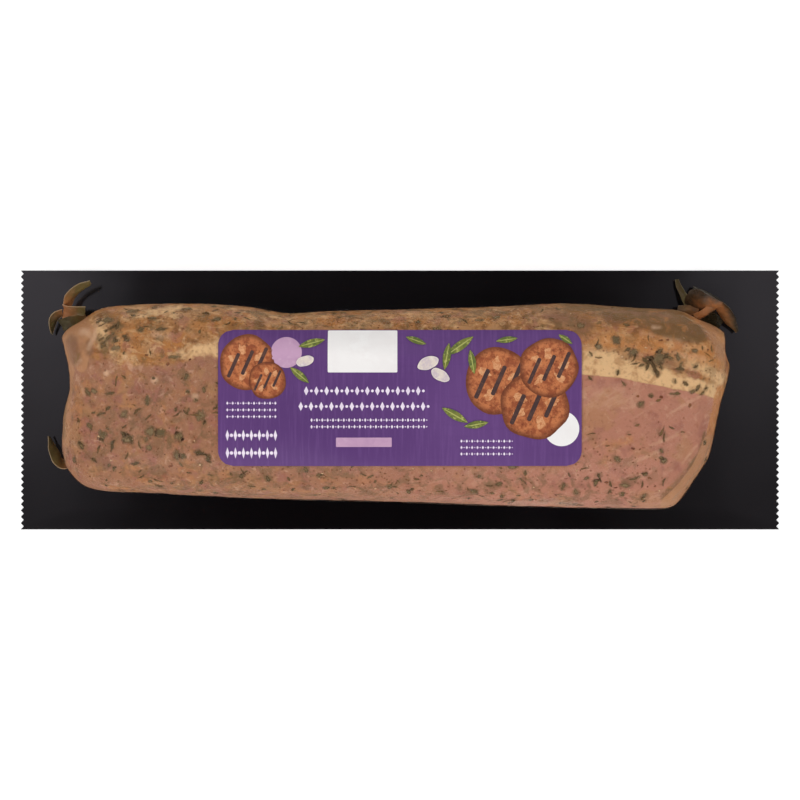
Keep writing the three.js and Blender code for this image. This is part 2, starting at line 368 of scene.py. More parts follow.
@dataclass(frozen=True)
class FilletForm:
    """The fillet's outer form under its film, as the frame's solid has it."""

    foot: float = 0.7
    height: float = 37.2
    widest: float = 10.0
    foot_tuck: float = 0.985
    side_exponent: float = 4.4
    crown_exponent: float = 2.1
    end_drop: float = 2.6
    sway: float = 0.9
    sway_length: float = 31.0
    edge_relief: float = 0.35
    relief_fades_from: float = 0.55
    half_length: float = 128.0
    spine_start: float = -94.0
    spine_end: float = 86.0
    spine_y: float = -2.0
    fat_line_y: float = 12.5
    fat_line_slope: float = -0.055
    fat_step: float = 0.7
    fat_step_width: float = 5.0
    crown_grading: float = 1.7
    outline: tuple[Point, ...] = (
        (-130.1, 24.5), (-129.4, 20.8), (-127.8, 13.0), (-127.2, 4.8), (-129.2, -3.4), (-130.0, -12.0),
        (-129.8, -21.2), (-127.3, -27.6), (-121.5, -33.2), (-114.6, -35.2), (-98.4, -36.0), (-60.0, -37.9),
        (0.0, -39.5), (46.3, -41.1), (77.0, -41.8), (101.5, -41.9), (105.2, -41.1), (107.6, -38.8),
        (117.3, -24.7), (118.8, -21.8), (123.4, -1.5), (125.9, 7.7), (126.8, 13.2), (125.4, 18.6),
        (124.7, 26.0), (122.0, 28.3), (114.9, 31.4), (107.6, 34.7), (92.4, 35.6), (63.6, 37.4),
        (30.9, 36.0), (-30.6, 34.4), (-43.2, 33.7), (-57.6, 36.0), (-80.6, 37.4), (-110.0, 36.3),
        (-116.6, 35.0), (-121.9, 31.4), (-128.3, 27.2),
    )
    lumps: tuple[Place, ...] = (
        (0.35, 9.5, 8.2), (0.3, 7.3, -9.1), (0.35, 17.0, 6.6), (0.3, -23.0, 12.0),
    )
    creases: Strokes = strokes(
        (((-114, 35), (-117, 12)), 3.2, 0.9), (((-124, -2), (-121, 26)), 3.6, 0.8),
        (((101, -41), (119, -8)), 3.4, 0.9), (((112, 33), (121, 14)), 3.4, 0.9),
    )

    @cached_property
    def edge(self) -> np.ndarray:
        """The plan outline as many points, anticlockwise."""
        return catmull_rom(np.array(self.outline), closed=True, per_span=30)

    def edge_at(self, spine_x: np.ndarray, angle: np.ndarray) -> np.ndarray:
        """Where rays from the spine meet the outline.

        Args:
            spine_x: Where on the spine each ray starts.
            angle: Its direction, straight across the spine except at the two ends.

        Returns:
            The points met, one a row.
        """
        met = np.empty((len(spine_x), 2))
        curve = self.edge - np.array([0, self.spine_y])
        for end in (self.spine_start, self.spine_end):
            turn = np.arctan2(curve[:, 1], curve[:, 0] - end)
            order = np.argsort(turn)
            reach = np.hypot(curve[:, 0] - end, curve[:, 1])[order]
            here = spine_x == end
            length = np.interp(angle[here], turn[order], reach, period=2 * math.pi)
            met[here] = np.stack([end + length * np.cos(angle[here]), length * np.sin(angle[here])], axis=1)
        between = (spine_x > self.spine_start) & (spine_x < self.spine_end)
        for side in (-1, 1):
            chain = curve[curve[:, 1] * side > 0]
            chain = chain[np.argsort(chain[:, 0])]
            here = between & ((np.sin(angle) >= 0) == (side > 0))
            met[here] = np.stack([spine_x[here], np.interp(spine_x[here], chain[:, 0], chain[:, 1])], axis=1)
        return met + np.array([0, self.spine_y])

    def rays(self, along: int, round_end: int) -> tuple[np.ndarray, np.ndarray]:
        """Rays from the spine to the outline, once round it from the left end of the lean side.

        Args:
            along: Steps along each long side.
            round_end: Steps round each end.

        Returns:
            The rays' starts and ends, one a row, the first repeated as the last.
        """
        line = np.linspace(self.spine_start, self.spine_end, along + 1)
        quarter = math.pi / 2
        turn = np.linspace(-quarter, quarter, round_end + 1)[1:-1]
        spine_x = np.concatenate([line, np.full(len(turn), self.spine_end), line[::-1],
                                  np.full(len(turn), self.spine_start), line[:1]])
        angle = np.concatenate([np.full(len(line), -quarter), turn, np.full(len(line), quarter),
                                turn + math.pi, [-quarter]])
        start = np.stack([spine_x, np.full(len(spine_x), self.spine_y)], axis=1)
        return start, self.edge_at(spine_x, angle)

    def share(self, x: np.ndarray, y: np.ndarray) -> np.ndarray:
        """How far points lie from the spine towards the outline.

        Args:
            x: Their places along the pack.
            y: Their places across it.

        Returns:
            0 on the spine, 1 on the outline.
        """
        spine_x = np.clip(x, self.spine_start, self.spine_end)
        dx, dy = x - spine_x, y - self.spine_y
        met = self.edge_at(spine_x, np.arctan2(dy, dx))
        return np.hypot(dx, dy) / np.hypot(met[:, 0] - spine_x, met[:, 1] - self.spine_y)

    def relief(self, x: np.ndarray, y: np.ndarray) -> np.ndarray:
        """The relief on the crown: lumps, the fat cap's step and the creases.

        Args:
            x: The points' places along the pack.
            y: Their places across it.

        Returns:
            How far the film stands up at each of them.
        """
        line = self.fat_line_y + self.fat_line_slope * x
        height = self.fat_step * smooth(y - line, 0, self.fat_step_width)
        for rise, along, across in self.lumps:
            height = height + rise * np.sin(x / along + y / across)
        for crease in self.creases:
            height = height + crease.ridge(x, y)
        return height

    def crown(self, x: np.ndarray, y: np.ndarray, share: np.ndarray) -> np.ndarray:
        """The height of the film over points.

        Args:
            x: Their places along the pack.
            y: Their places across it.
            share: How far they are from the spine towards the outline.

        Returns:
            The height for each of them.
        """
        rise = np.maximum(1 - share**self.side_exponent, 0) ** (1 / self.crown_exponent)
        inside = 1 - smooth(share, self.relief_fades_from, 1)
        relief_share = self.edge_relief + (1 - self.edge_relief) * inside
        drop = self.end_drop * (x / self.half_length) ** 2 + self.sway * np.sin(x / self.sway_length)
        top = self.height - self.foot - drop - self.widest + self.relief(x, y) * relief_share
        return self.foot + self.widest + top * rise

    def wrap(self, along: int, round_end: int, wall: int, over: int, tuck: float) -> np.ndarray:
        """The form as a grid of points: from the foot up the wall and over the crown to the spine.

        Args:
            along: Steps along each long side.
            round_end: Steps round each end.
            wall: Steps up the wall.
            over: Steps from the widest level to the spine.
            tuck: How far the foot is pulled in, as a share of the way out.

        Returns:
            The points as rows, columns and coordinates.
        """
        start, end = self.rays(along, round_end)
        rows = []
        for k in range(wall):
            up = k / wall
            flat = start + (end - start) * (1 - (1 - tuck) * (1 - up) ** 2)
            rows.append(np.column_stack([flat, np.full(len(flat), self.foot + self.widest * up)]))
        for k in range(over + 1):
            share = 1 - (k / over) ** self.crown_grading
            flat = start + (end - start) * share
            height = self.crown(flat[:, 0], flat[:, 1], np.full(len(flat), share))
            rows.append(np.column_stack([flat, height]))
        return np.array(rows)


def grid_normals(grid: np.ndarray) -> np.ndarray:
    """Outward normals of a grid that closes on itself round its columns and ends on the spine.

    Args:
        grid: Points as rows, columns and coordinates.

    Returns:
        A unit normal for each point.
    """
    body = grid[:, :-1]
    round_it = np.roll(body, -1, axis=1) - np.roll(body, 1, axis=1)
    normal = np.cross(round_it, np.gradient(body, axis=0))
    length = np.linalg.norm(normal, axis=2, keepdims=True)
    normal = np.where(length > TINY, normal / np.maximum(length, TINY), (0, 0, 1))
    normal[-1] = (0, 0, 1)
    return np.concatenate([normal, normal[:, :1]], axis=1)


def sheet_from_grid(grid: np.ndarray, marks: dict[str, np.ndarray] | None = None) -> bmesh.types.BMesh:
    """A sheet of quads whose corners lie at a grid's points, with shared corners merged.

    Args:
        grid: Points in millimetres as rows, columns and coordinates.
        marks: Values for the corners that the materials read, by name.

    Returns:
        The mesh, in metres.
    """
    rows, columns = grid.shape[:2]
    sheet = bmesh.new()
    bmesh.ops.create_grid(sheet, x_segments=columns - 1, y_segments=rows - 1, size=0.5)
    layers = [(sheet.verts.layers.float.new(name), values.ravel()) for name, values in (marks or {}).items()]
    places = grid.reshape(-1, 3) * MM
    for number, corner in enumerate(sheet.verts):
        corner.co = places[number]
        for layer, values in layers:
            corner[layer] = values[number]
    bmesh.ops.remove_doubles(sheet, verts=sheet.verts, dist=MERGE_DISTANCE)
    return sheet


def as_piece(name: str, mesh: bmesh.types.BMesh, slot: str, material: bpy.types.Material,
             *replaced: str) -> bpy.types.Object:
    """Turns a finished mesh into a piece of the object that rides on its body.

    Args:
        name: The piece's name.
        mesh: Its mesh in metres. It is freed.
        slot: The record's material slot. It is not used.
        material: Its material.
        *replaced: The frame's nodes that it stands for.

    Returns:
        The piece.
    """
    data = bpy.data.meshes.new(name)
    mesh.to_mesh(data)
    mesh.free()
    data.shade_smooth()
    data.set_sharp_from_angle(angle=SHARP_ANGLE)
    data.materials.append(material)
    piece = bpy.data.objects.new(name, data)
    bpy.context.scene.collection.objects.link(piece)
    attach(piece, BODY)
    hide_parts(*replaced)
    LOG.info("%s: %d faces", name, len(data.polygons))
    return piece


@dataclass(frozen=True)
class MeatZones:
    """Where the fillet shows lean, fat, juice and seasoning, and where shade and highlights are painted on
    it, seen from above.
    """

    seam: tuple[Point, ...] = (
        (-130, 15.5), (-112, 15.5), (-100, 12.7), (-86, 13.5), (-75, 16.5), (-68, 16.5), (0, 14.0),
        (68, 9.6), (82, 8.4), (99, 4.9), (112, 2.4), (130, -1.5),
    )
    cream: Strokes = strokes(
        (((62, 12.5), (78, 12.5)), 6.4, 1.0, 0.8), (((78, 12.0), (98, 7.6)), 4.6, 1.0, 0.8),
        (((98, 6.6), (117, 3.0)), 3.4, 1.0, 0.8), (((110, 15), (121, 8)), 3.4, 0.7, 0.9),
        (((-104, 31), (-84, 35)), 1.8, 0.6, 0.9), (((-112.5, 29), (-111.5, 21)), 2.6, 0.75, 0.9),
        (((-77, 17.5), (-64, 20.5)), 3.4, 0.85, 0.9), (((-108, 18), (-100, 15.5)), 2.4, 0.55, 0.9),
        (((-86, 17.0), (-77, 17.5)), 2.0, 0.5, 0.9), (((-60, 32), (-50, 29)), 2.2, 0.4, 0.9),
    )
    orange: Strokes = strokes(
        (((66, 23), (96, 22)), 4.6, 0.75, 0.9), (((96, 20), (119, 16)), 4.6, 0.9, 0.9),
        (((121.6, 3), (120.0, -6), (117.6, -15)), 2.6, 1.0, 0.4), (((77, -16), (86, -15)), 2.2, 0.5, 0.9),
        (((-114.5, 20.4), (-114.9, 17.0)), 1.4, 0.5, 0.8), (((-123.6, 27.4), (-119.4, 28.8)), 2.2, 0.6, 0.9),
        (((78, -17), (76.5, -26)), 2.4, 0.5, 0.9), (((-102.5, -25.6), (-96, -25.4)), 1.6, 0.6, 0.9),
        (((-121.5, 5), (-120.6, -9)), 2.0, 0.55, 0.9), (((-125, 31.5), (-116, 34.5)), 1.8, 0.6),
        (((-104, 25.5), (-94, 24.5)), 2.4, 0.5, 0.9), (((-112, -33), (-100, -35)), 1.8, 0.5, 0.9),
        (((-50, 28), (-42, 29)), 2.2, 0.4, 0.9), (((45, -36), (52, -36.5)), 2.4, 0.5, 0.9),
        (((-106, -27), (-98, -30)), 3.0, 0.35, 0.9), (((-84, 28), (-70, 27)), 2.6, 0.45, 0.9),
        (((114, 30.5), (123, 21)), 1.8, 0.8, 0.6),
    )
    # Brown zone: juice under the film, and painted shade along the top edge and the creases where the fillet
    # slopes away from the light.
    brown_juice_and_shade: Strokes = strokes(
        (((80, 33.0), (106, 31.0)), 5.0, 1.0, 0.9), (((98, 27.4), (112, 25.0)), 4.0, 1.0, 0.7),
        (((64, 35.5), (84, 34.0)), 3.4, 0.8, 0.9), (((30, 34.6), (66, 36)), 3.0, 0.5, 0.8),
        (((-20, 33.5), (26, 35)), 1.8, 0.4, 0.8), (((-119.5, 19), (-116, 13)), 2.6, 0.4, 0.9),
        (((66, 25.6), (70, 24.6)), 2.4, 0.7, 0.9), (((-113.2, 23.4), (-110.4, 19.0)), 1.8, 0.6, 0.9),
        (((115.6, -13), (113.4, -20.5), (108.2, -27.6)), 1.6, 0.75, 0.6),
        (((110.4, -25.0), (105.6, -31.2), (100.0, -36.4)), 2.0, 0.75, 0.6),
    )
    # Mauve-brown faces: painted shade on the facets of the left end's folded web, and mauve tint elsewhere.
    mauve_and_shade: Strokes = strokes(
        (((-124.4, 22.0), (-122.4, 15.6)), 2.8, 1.0, 0.8), (((58, 31.5), (70, 28.5)), 3.4, 0.8, 0.9),
        (((-119.6, 21.0), (-117.0, 17.0)), 1.2, 0.5, 0.9), (((97, 15.5), (102, 13.5)), 2.4, 0.7, 0.9),
        (((-117.0, 21.4), (-116.4, 17.6)), 1.5, 0.85, 0.9),
    )
    tan: Strokes = strokes(
        (((-122.5, 28.5), (-118.5, 24)), 4.4, 1.0, 0.3), (((-127.6, 25), (-125.2, 11)), 2.2, 1.0, 0.3),
        (((-118, 22), (-120, 13)), 2.6, 1.0, 0.4), (((-126.6, 8), (-127, -16)), 2.6, 0.7, 0.7),
        (((102.5, -39), (108, -33.5), (113.6, -26), (117.6, -16.5)), 3.4, 1.0, 0.15),
        (((116, 30), (122, 17)), 3.4, 0.6, 0.7),
    )
    olive: Strokes = strokes(
        (((-127.6, 4), (-128, -14)), 1.2, 0.6, 0.8), (((-121.0, 17.0), (-122.6, 13.8)), 0.9, 0.7, 0.9),
        (((60, 36), (100, 35)), 1.4, 0.5, 0.8), (((-112.2, 21.4), (-110.6, 17.6)), 1.6, 0.7, 0.9),
        (((-124.6, 31), (-119, 34.4)), 1.0, 0.4, 0.8), (((-112, 32.5), (-107.5, 30)), 2.2, 0.6, 0.8),
    )
    # Pale spots and lines: partly paler meat, partly painted highlights on the film, as on the left end's web
    # and along the lower right creases.
    pale: Strokes = strokes(
        (((-110.0, 10.0),), 1.3, 0.8, 0.8), (((-92.0, 7.4),), 1.4, 0.8, 0.8),
        (((-76.8, 1.4),), 1.4, 0.7, 0.8), (((-92.5, 24.8), (-86.5, 24.0)), 1.8, 0.45, 0.9),
        (((-103, 15.6), (-101, 12.6)), 1.3, 0.5, 0.9), (((95.2, 27.4), (97.8, 27.3)), 0.9, 0.42, 0.95),
        (((91, 25.0), (98, 23.4), (105, 22.2)), 1.3, 0.32, 0.95), (((99, 18), (114, 15.5)), 1.4, 0.4, 0.9),
        (((-100, -11), (-96, -18)), 2.4, 0.2, 0.9), (((70, -1), (86, 2)), 6.0, 0.3, 0.9),
        (((-120.2, 25.8), (-117.4, 24.8)), 1.8, 0.5, 0.95), (((101, -5), (113, 1.5)), 0.8, 0.4, 0.9),
        (((-114.6, 30.6), (-115.2, 23.8), (-117.2, 19.4)), 1.2, 0.55, 0.9),
        (((-122.4, 13.2), (-120.0, 15.2)), 0.9, 0.45, 0.9),
        (((94, -17), (104, -13)), 0.8, 0.4, 0.9), (((106, -24), (112, -17)), 0.7, 0.4, 0.9),
        (((86, -24), (97, -19)), 0.8, 0.35, 0.9), (((-122, 9), (-119, 2)), 1.0, 0.35, 0.9),
    )
    rub: Strokes = strokes(
        (((-110, 27), (-105, 21)), 5.0), (((-104, 30), (-74, 29)), 4.5, 0.6),
        (((-118, -14), (-74, -10)), 11, 0.6), (((-112, 2), (-74, 4)), 10, 0.3),
        (((80, 20), (117, 12)), 6, 0.45), (((-72, 31), (64, 31)), 4.5, 0.7),
        (((-110, -29), (88, -34)), 6.5, 0.75), (((70, -20), (90, -26)), 7, 0.5),
    )
    bare: Strokes = strokes(
        (((72, 3), (84, -8)), 8, 1.0, 0.3), (((-123, 28), (-120, 15)), 7, 0.95, 0.3),
        (((84, 30.5), (108, 29)), 5.6, 0.9, 0.3), (((103, -34), (120, -2)), 3.6, 0.95, 0.4),
        (((68, 14), (90, 10), (112, 5)), 4.2, 0.85, 0.5), (((96, -6), (114, -8)), 6, 0.7, 0.6),
    )
    seam_blur: tuple[Point, ...] = ((-60, 5.0), (60, 1.4))
    least_rub: float = 0.2

    @staticmethod
    def over(zone: Strokes, x: np.ndarray, y: np.ndarray) -> np.ndarray:
        """The strongest cover of a zone's strokes at each point."""
        return np.max([stroke.cover(x, y) for stroke in zone], axis=0)

    def fat(self, x: np.ndarray, y: np.ndarray) -> np.ndarray:
        """How fat the meat is on either side of the seam.

        Args:
            x: The points' places along the pack.
            y: Their places across it.

        Returns:
            0.5 on the seam, up to 1 on the fat side and down to 0 on the lean side.
        """
        xs, ys = zip(*self.seam)
        places, blurs = zip(*self.seam_blur)
        return np.clip(0.5 + (y - np.interp(x, xs, ys)) / (2 * np.interp(x, places, blurs)), 0, 1)

    def seasoning(self, x: np.ndarray, y: np.ndarray) -> np.ndarray:
        """How thickly the rub lies, from 0 to 1."""
        lying = self.least_rub + (1 - self.least_rub) * self.over(self.rub, x, y)
        return lying * (1 - self.over(self.bare, x, y))

    def marks(self, x: np.ndarray, y: np.ndarray) -> dict[str, np.ndarray]:
        """What the meat's material reads at points.

        Args:
            x: Their places along the pack.
            y: Their places across it.

        Returns:
            Every zone's value at each of them, by name.
        """
        named = ("cream", "orange", "brown_juice_and_shade", "tan", "mauve_and_shade", "olive", "pale")
        found = {name: self.over(getattr(self, name), x, y) for name in named}
        return found | {"fat": self.fat(x, y), "rub": self.seasoning(x, y)}


@dataclass(frozen=True)
class MeatFinish:
    """Raw pork under tight film: mottled lean, a cream fat side and damp seasoning, with painted shade and
    painted highlights in some zones.
    """

    lean_left: Colour = tone(163, 115, 89)
    lean_right: Colour = tone(182, 126, 106)
    lean_tan: Colour = tone(176, 128, 90)
    lean_mauve: Colour = tone(158, 104, 92)
    lean_pale: Colour = tone(208, 164, 138)
    lean_red: Colour = tone(150, 88, 66)
    lean_grey: Colour = tone(122, 94, 68)
    lean_deep: Colour = tone(120, 76, 56)
    fat: Colour = tone(184, 138, 96)
    fat_cream: Colour = tone(222, 182, 136)
    fat_warm: Colour = tone(178, 120, 70)
    fat_stain: Colour = tone(124, 82, 50)
    orange: Colour = tone(196, 132, 78)
    # Juice brown, also laid as painted shade on the slopes.
    brown_juice_and_shade: Colour = tone(116, 88, 58)
    # Mauve tint, also laid as painted shade on the left end's facets.
    mauve_and_shade: Colour = tone(136, 98, 74)
    tan: Colour = tone(184, 134, 98)
    olive: Colour = tone(130, 100, 62)
    # Pale meat, also laid as painted highlights.
    pale: Colour = tone(222, 182, 150)
    haze: Colour = tone(108, 88, 60)
    dust: Colour = tone(108, 64, 42)
    middle: float = 60.0

    def mottled(self, r: Recipe, colour: Socket | Colour, seed: float, layers: tuple[tuple, ...]) -> Socket:
        """A colour with patches of others over it.

        Args:
            r: The recipe.
            colour: The colour beneath.
            seed: Picks the patterns.
            layers: Each one's size in millimetres, colour, strength and threshold.

        Returns:
            The mottled colour.
        """
        for number, (size, added, strength, start) in enumerate(layers):
            share = r.span(r.noise(size, seed + number, 3, 0.58, warp=0.5), start, start + 0.13, 0, strength)
            colour = r.blend(share, colour, added)
        return colour

    def lean_colour(self, r: Recipe) -> Socket:
        """The lean's colour: mottled and browner to the left, pinker and crossed by pale fibres to the right.

        Args:
            r: The recipe.

        Returns:
            The colour.
        """
        left = self.mottled(r, self.lean_left, 2.0, (
            (9.0, self.lean_tan, 0.7, 0.5), (6.0, self.lean_mauve, 0.7, 0.51),
            (7.0, self.orange, 0.35, 0.54), (4.4, self.lean_grey, 0.65, 0.54),
            (3.0, self.lean_pale, 0.45, 0.55), (2.8, self.lean_red, 0.5, 0.56),
            (1.7, self.lean_deep, 0.5, 0.57), (1.3, self.lean_pale, 0.35, 0.57),
        ))
        right = self.mottled(r, self.lean_right, 40.0, (
            (12.0, self.lean_tan, 0.5, 0.5), (8.0, self.lean_mauve, 0.6, 0.52),
            (4.0, self.lean_pale, 0.35, 0.55), (3.0, self.lean_red, 0.35, 0.57),
            (1.6, self.lean_deep, 0.3, 0.58),
        ))
        fibre = r.noise(3.2, 9.0, 2, 0.5, r.stretched((0.13, 1.5, 1.0), -27))
        right = r.blend(r.span(fibre, 0.56, 0.72, 0, 0.32), right, self.lean_pale)
        x = r.node("ShaderNodeSeparateXYZ", {0: r.coords}).outputs[0]
        return r.blend(r.span(x, -self.middle * MM, self.middle * MM), left, right)

    def fat_colour(self, r: Recipe) -> Socket:
        """The fat side's mottled and streaky colour.

        Args:
            r: The recipe.

        Returns:
            The colour.
        """
        colour = r.blend(r.span(r.noise(12, 11.0, 3), 0.4, 0.6), self.fat, self.fat_warm)
        colour = self.mottled(r, colour, 12.0, (
            (8.0, self.lean_mauve, 0.6, 0.5), (5.5, self.fat_stain, 0.8, 0.52),
            (4.2, self.fat_cream, 0.6, 0.56), (3.6, self.haze, 0.7, 0.55),
            (2.4, self.fat_stain, 0.6, 0.56), (1.7, self.fat_cream, 0.35, 0.57),
        ))
        streak = r.noise(3.4, 18.0, 3, 0.6, r.stretched((0.45, 1.5, 1.0), 14), 0.5)
        colour = r.blend(r.span(streak, 0.54, 0.66, 0, 0.45), colour, self.fat_cream)
        return r.blend(r.span(streak, 0.34, 0.46, 0.45, 0), colour, self.fat_stain)

    def material(self) -> bpy.types.Material:
        """Makes the material.

        Returns:
            The node material.
        """
        r = Recipe("raw_pork")
        edge = r.noise(3.6, 20.0, 4, 0.62, warp=0.5)
        grain = r.noise(1.2, 21.0, 3, 0.6)
        fatty = r.span(r.ragged("fat", edge, 0.7), 0.38, 0.62)
        colour = r.blend(fatty, self.lean_colour(r), self.fat_colour(r))
        cream = self.mottled(r, self.fat_cream, 30.0, (
            (5.0, self.fat, 0.75, 0.5), (2.6, self.lean_tan, 0.5, 0.55), (1.6, self.fat_stain, 0.3, 0.57)))
        creamy = r.sums("MULTIPLY", r.span(r.ragged("cream", edge, 1.1), 0.25, 0.75), fatty)
        colour = r.blend(creamy, colour, cream)
        # The brown zone's colour, for juice and for painted shade on the slopes.
        juice = self.mottled(r, self.brown_juice_and_shade, 50.0, (
            (7.0, self.mauve_and_shade, 0.8, 0.5), (4.0, self.orange, 0.45, 0.55), (2.4, self.fat_stain, 0.5, 0.56)))
        warm = self.mottled(r, self.orange, 60.0, (
            (3.2, self.fat_cream, 0.6, 0.53), (2.6, self.fat_stain, 0.6, 0.54),
            (1.5, self.lean_red, 0.4, 0.57)))
        # The brown and mauve zones lay painted shade as well as tint; the pale zone lays painted highlights
        # as well as pale meat.
        for mark, added, amount, low, high, strength in (
            ("orange", warm, 1.4, 0.25, 0.95, 0.75), ("brown_juice_and_shade", juice, 1.6, 0.2, 0.9, 0.88),
            ("tan", self.tan, 0.2, 0.3, 0.75, 0.85), ("mauve_and_shade", self.mauve_and_shade, 0.6, 0.1, 0.95, 0.85),
            ("olive", self.olive, 0.5, 0.2, 0.9, 0.85), ("pale", self.pale, 0.8, 0.1, 0.95, 0.9),
        ):
            colour = r.blend(r.span(r.ragged(mark, edge, amount), low, high, 0, strength), colour, added)
        wiped = r.span(r.noise(5.0, 23.0, 4, 0.68, warp=0.8), 0.48, 0.6)
        smear = r.sums("MULTIPLY", wiped, r.attribute("rub"))
        colour = r.blend(r.sums("MULTIPLY", smear, 0.65), colour, self.haze)
        stain = r.ragged("haze", r.noise(2.4, 24.0, 3, 0.6, warp=0.6), 1.6)
        colour = r.blend(r.span(stain, 0.2, 1.0, 0, 0.75), colour, self.haze)
        dust = r.sums("MULTIPLY", r.dots(2.2, 0.45), r.span(r.attribute("rub"), 0.05, 0.4, 0.15, 0.6))
        colour = r.blend(dust, colour, self.dust)
        height = r.sums("ADD", r.sums("MULTIPLY", edge, 0.6), r.sums("MULTIPLY", grain, 0.4))
        return r.done(r.principled({
            "Base Color": colour, "Roughness": r.span(edge, 0.35, 0.7, 0.5, 0.65),
            "Normal": r.bump(height, 0.35, 0.7), "Subsurface Weight": 0.08,
            "Subsurface Radius": (0.0012, 0.0006, 0.0004), "Subsurface Scale": 1.0,
            "Specular IOR Level": 0.06,
        }))


@dataclass
class PorkLoin:
    """The fillet itself, a little inside its film."""

    form: FilletForm
    zones: MeatZones
    finish: MeatFinish = MeatFinish()
    film_gap: float = 0.35
    flake_size: float = 3.2
    flake_depth: float = 0.14
    lump_size: float = 9.0
    lump_depth: float = 0.18
    along: int = 290
    round_end: int = 130
    wall: int = 11
    over: int = 84
    foot_tuck: float = 0.985

    def grid(self) -> np.ndarray:
        """Lays out the fillet's surface, with the flaky relief of cut meat.

        Returns:
            The points as rows, columns and coordinates.
        """
        grid = self.form.wrap(self.along, self.round_end, self.wall, self.over, self.foot_tuck)
        flat = grid.reshape(-1, 3)
        flakes = noise_at(flat * np.array([0.5, 1, 1]), self.flake_size, 3, 3.0)
        lumps = noise_at(flat, self.lump_size, 2, 8.0)
        depth = flakes * self.flake_depth + lumps * self.lump_depth - self.film_gap
        return grid + grid_normals(grid) * depth.reshape(grid.shape[:2])[..., None]

    def build(self) -> bmesh.types.BMesh:
        """Makes the fillet's mesh, closed underneath, and marks its zones.

        Returns:
            The mesh in metres.
        """
        grid = self.grid()
        under = grid[0].copy()
        under[:, :2] = self.form.rays(self.along, self.round_end)[0]
        closed = np.concatenate([under[None], grid])
        marks = self.zones.marks(closed[..., 0].ravel(), closed[..., 1].ravel())
        return sheet_from_grid(closed, marks)

    def dress(self, mesh: bmesh.types.BMesh, haze: np.ndarray) -> bpy.types.Object:
        """Makes the piece once it is known where herbs stain it.

        Args:
            mesh: The fillet's mesh.
            haze: How much each corner is stained.

        Returns:
            The piece.
        """
        layer = mesh.verts.layers.float.new("haze")
        for corner, stain in zip(mesh.verts, haze):
            corner[layer] = stain
        return as_piece("pork_loin", mesh, "fillet_in_film", self.finish.material(), "fillet_in_film")


class Shape(Enum):
    """The shapes that dried herbs and spices have in the rub."""

    BLADE = "blade"
    GRAIN = "grain"


@dataclass(frozen=True)
class Herb:
    """One thing in the rub: its place from above, length, width and turn in degrees."""

    x: float
    y: float
    length: float
    width: float
    turn: float


def herbs(*rows: Row) -> tuple[Herb, ...]:
    """Makes herbs from rows of place, length, width and turn."""
    return tuple(Herb(*row) for row in rows)


@dataclass(frozen=True)
class RubFinish:
    """A dried herb or spice, damp under the film, its pieces of uneven shade."""

    name: str
    dark: Colour
    light: Colour
    edge: Colour

    def material(self) -> bpy.types.Material:
        """Makes the material.

        Returns:
            The node material.
        """
        r = Recipe(self.name)
        grain = r.noise(1.6, 1.0, 3, 0.6)
        colour = r.blend(r.span(r.ragged("shade", grain, 0.9), 0.1, 0.9), self.dark, self.light)
        frayed = r.ragged("rim", r.noise(1.8, 2.0, 3, 0.55), 1.6)
        colour = r.blend(r.span(frayed, 0.2, 0.95, 0, 0.85), colour, self.edge)
        skin = r.principled({"Base Color": colour, "Roughness": 0.6, "Specular IOR Level": 0.06,
                             "Normal": r.bump(grain, 0.1, 0.6)})
        share = r.sums("MULTIPLY", r.span(frayed, 0.2, 1.05, 0.95, 0.0), r.attribute("upper"))
        return r.done(r.mixed(share, r.see_through((1.0, 1.0, 1.0, 1.0)), skin))


@dataclass(frozen=True)
class RubKind:
    """One kind of thing in the rub: its finish, and the ranges that its sizes are drawn from."""

    name: str
    shape: Shape
    finish: RubFinish
    count: int
    length: Point
    width: Point
    thickness: float
    lift: float
    stain: float
    placed: tuple[Herb, ...] = ()
    bluntness: float = 2.0
    bend: float = 0.12
    fray: float = 0.45
    fade: float = 1.0


SOAKED_LEAF = RubKind(
    "soaked_leaves", Shape.BLADE,
    RubFinish("soaked_leaf", tone(104, 88, 62), tone(134, 114, 84), tone(150, 118, 88)),
    50, (2.2, 4.6), (1.2, 2.4), 0.08, 0.02, 0.75, herbs(
        (-111.9, -13.3, 4.2, 3.8, 20), (-102.2, -14.8, 4.8, 4.4, -40), (-93.4, -11.8, 4.4, 4.4, 0),
        (-89.6, -12.2, 3.6, 4.4, 10), (-82.8, -13.7, 3.4, 4.2, -50), (-74.5, -5.8, 3.8, 4.6, 20),
        (-83.6, -20.8, 4.0, 2.0, 85), (-103.6, -5.4, 3.4, 2.2, 30), (-110.7, 30.0, 5.2, 3.4, -10),
        (-106.6, 19.5, 3.4, 2.2, 0), (-101.7, 33.8, 5.6, 1.8, 10), (-80.9, 34.6, 4.6, 2.6, 5),
        (-114.9, 3.3, 2.6, 2.4, 0), (74.4, 19.9, 2.4, 2.8, 80), (81.2, 22.5, 3.6, 4.2, 60),
        (87.2, 17.6, 3.8, 2.8, 15), (96.8, 15.4, 5.6, 4.4, 20), (110.6, 18.4, 2.2, 1.8, 0),
        (90.2, -1.6, 3.0, 2.4, 40), (98.9, -22.7, 2.6, 2.0, -10), (-69.0, 30.5, 4.0, 2.6, 20),
        (68.0, 28.0, 3.0, 2.6, 0), (-120.6, -17.0, 3.0, 2.0, -50),
    ), 3.2, 0.0,
)
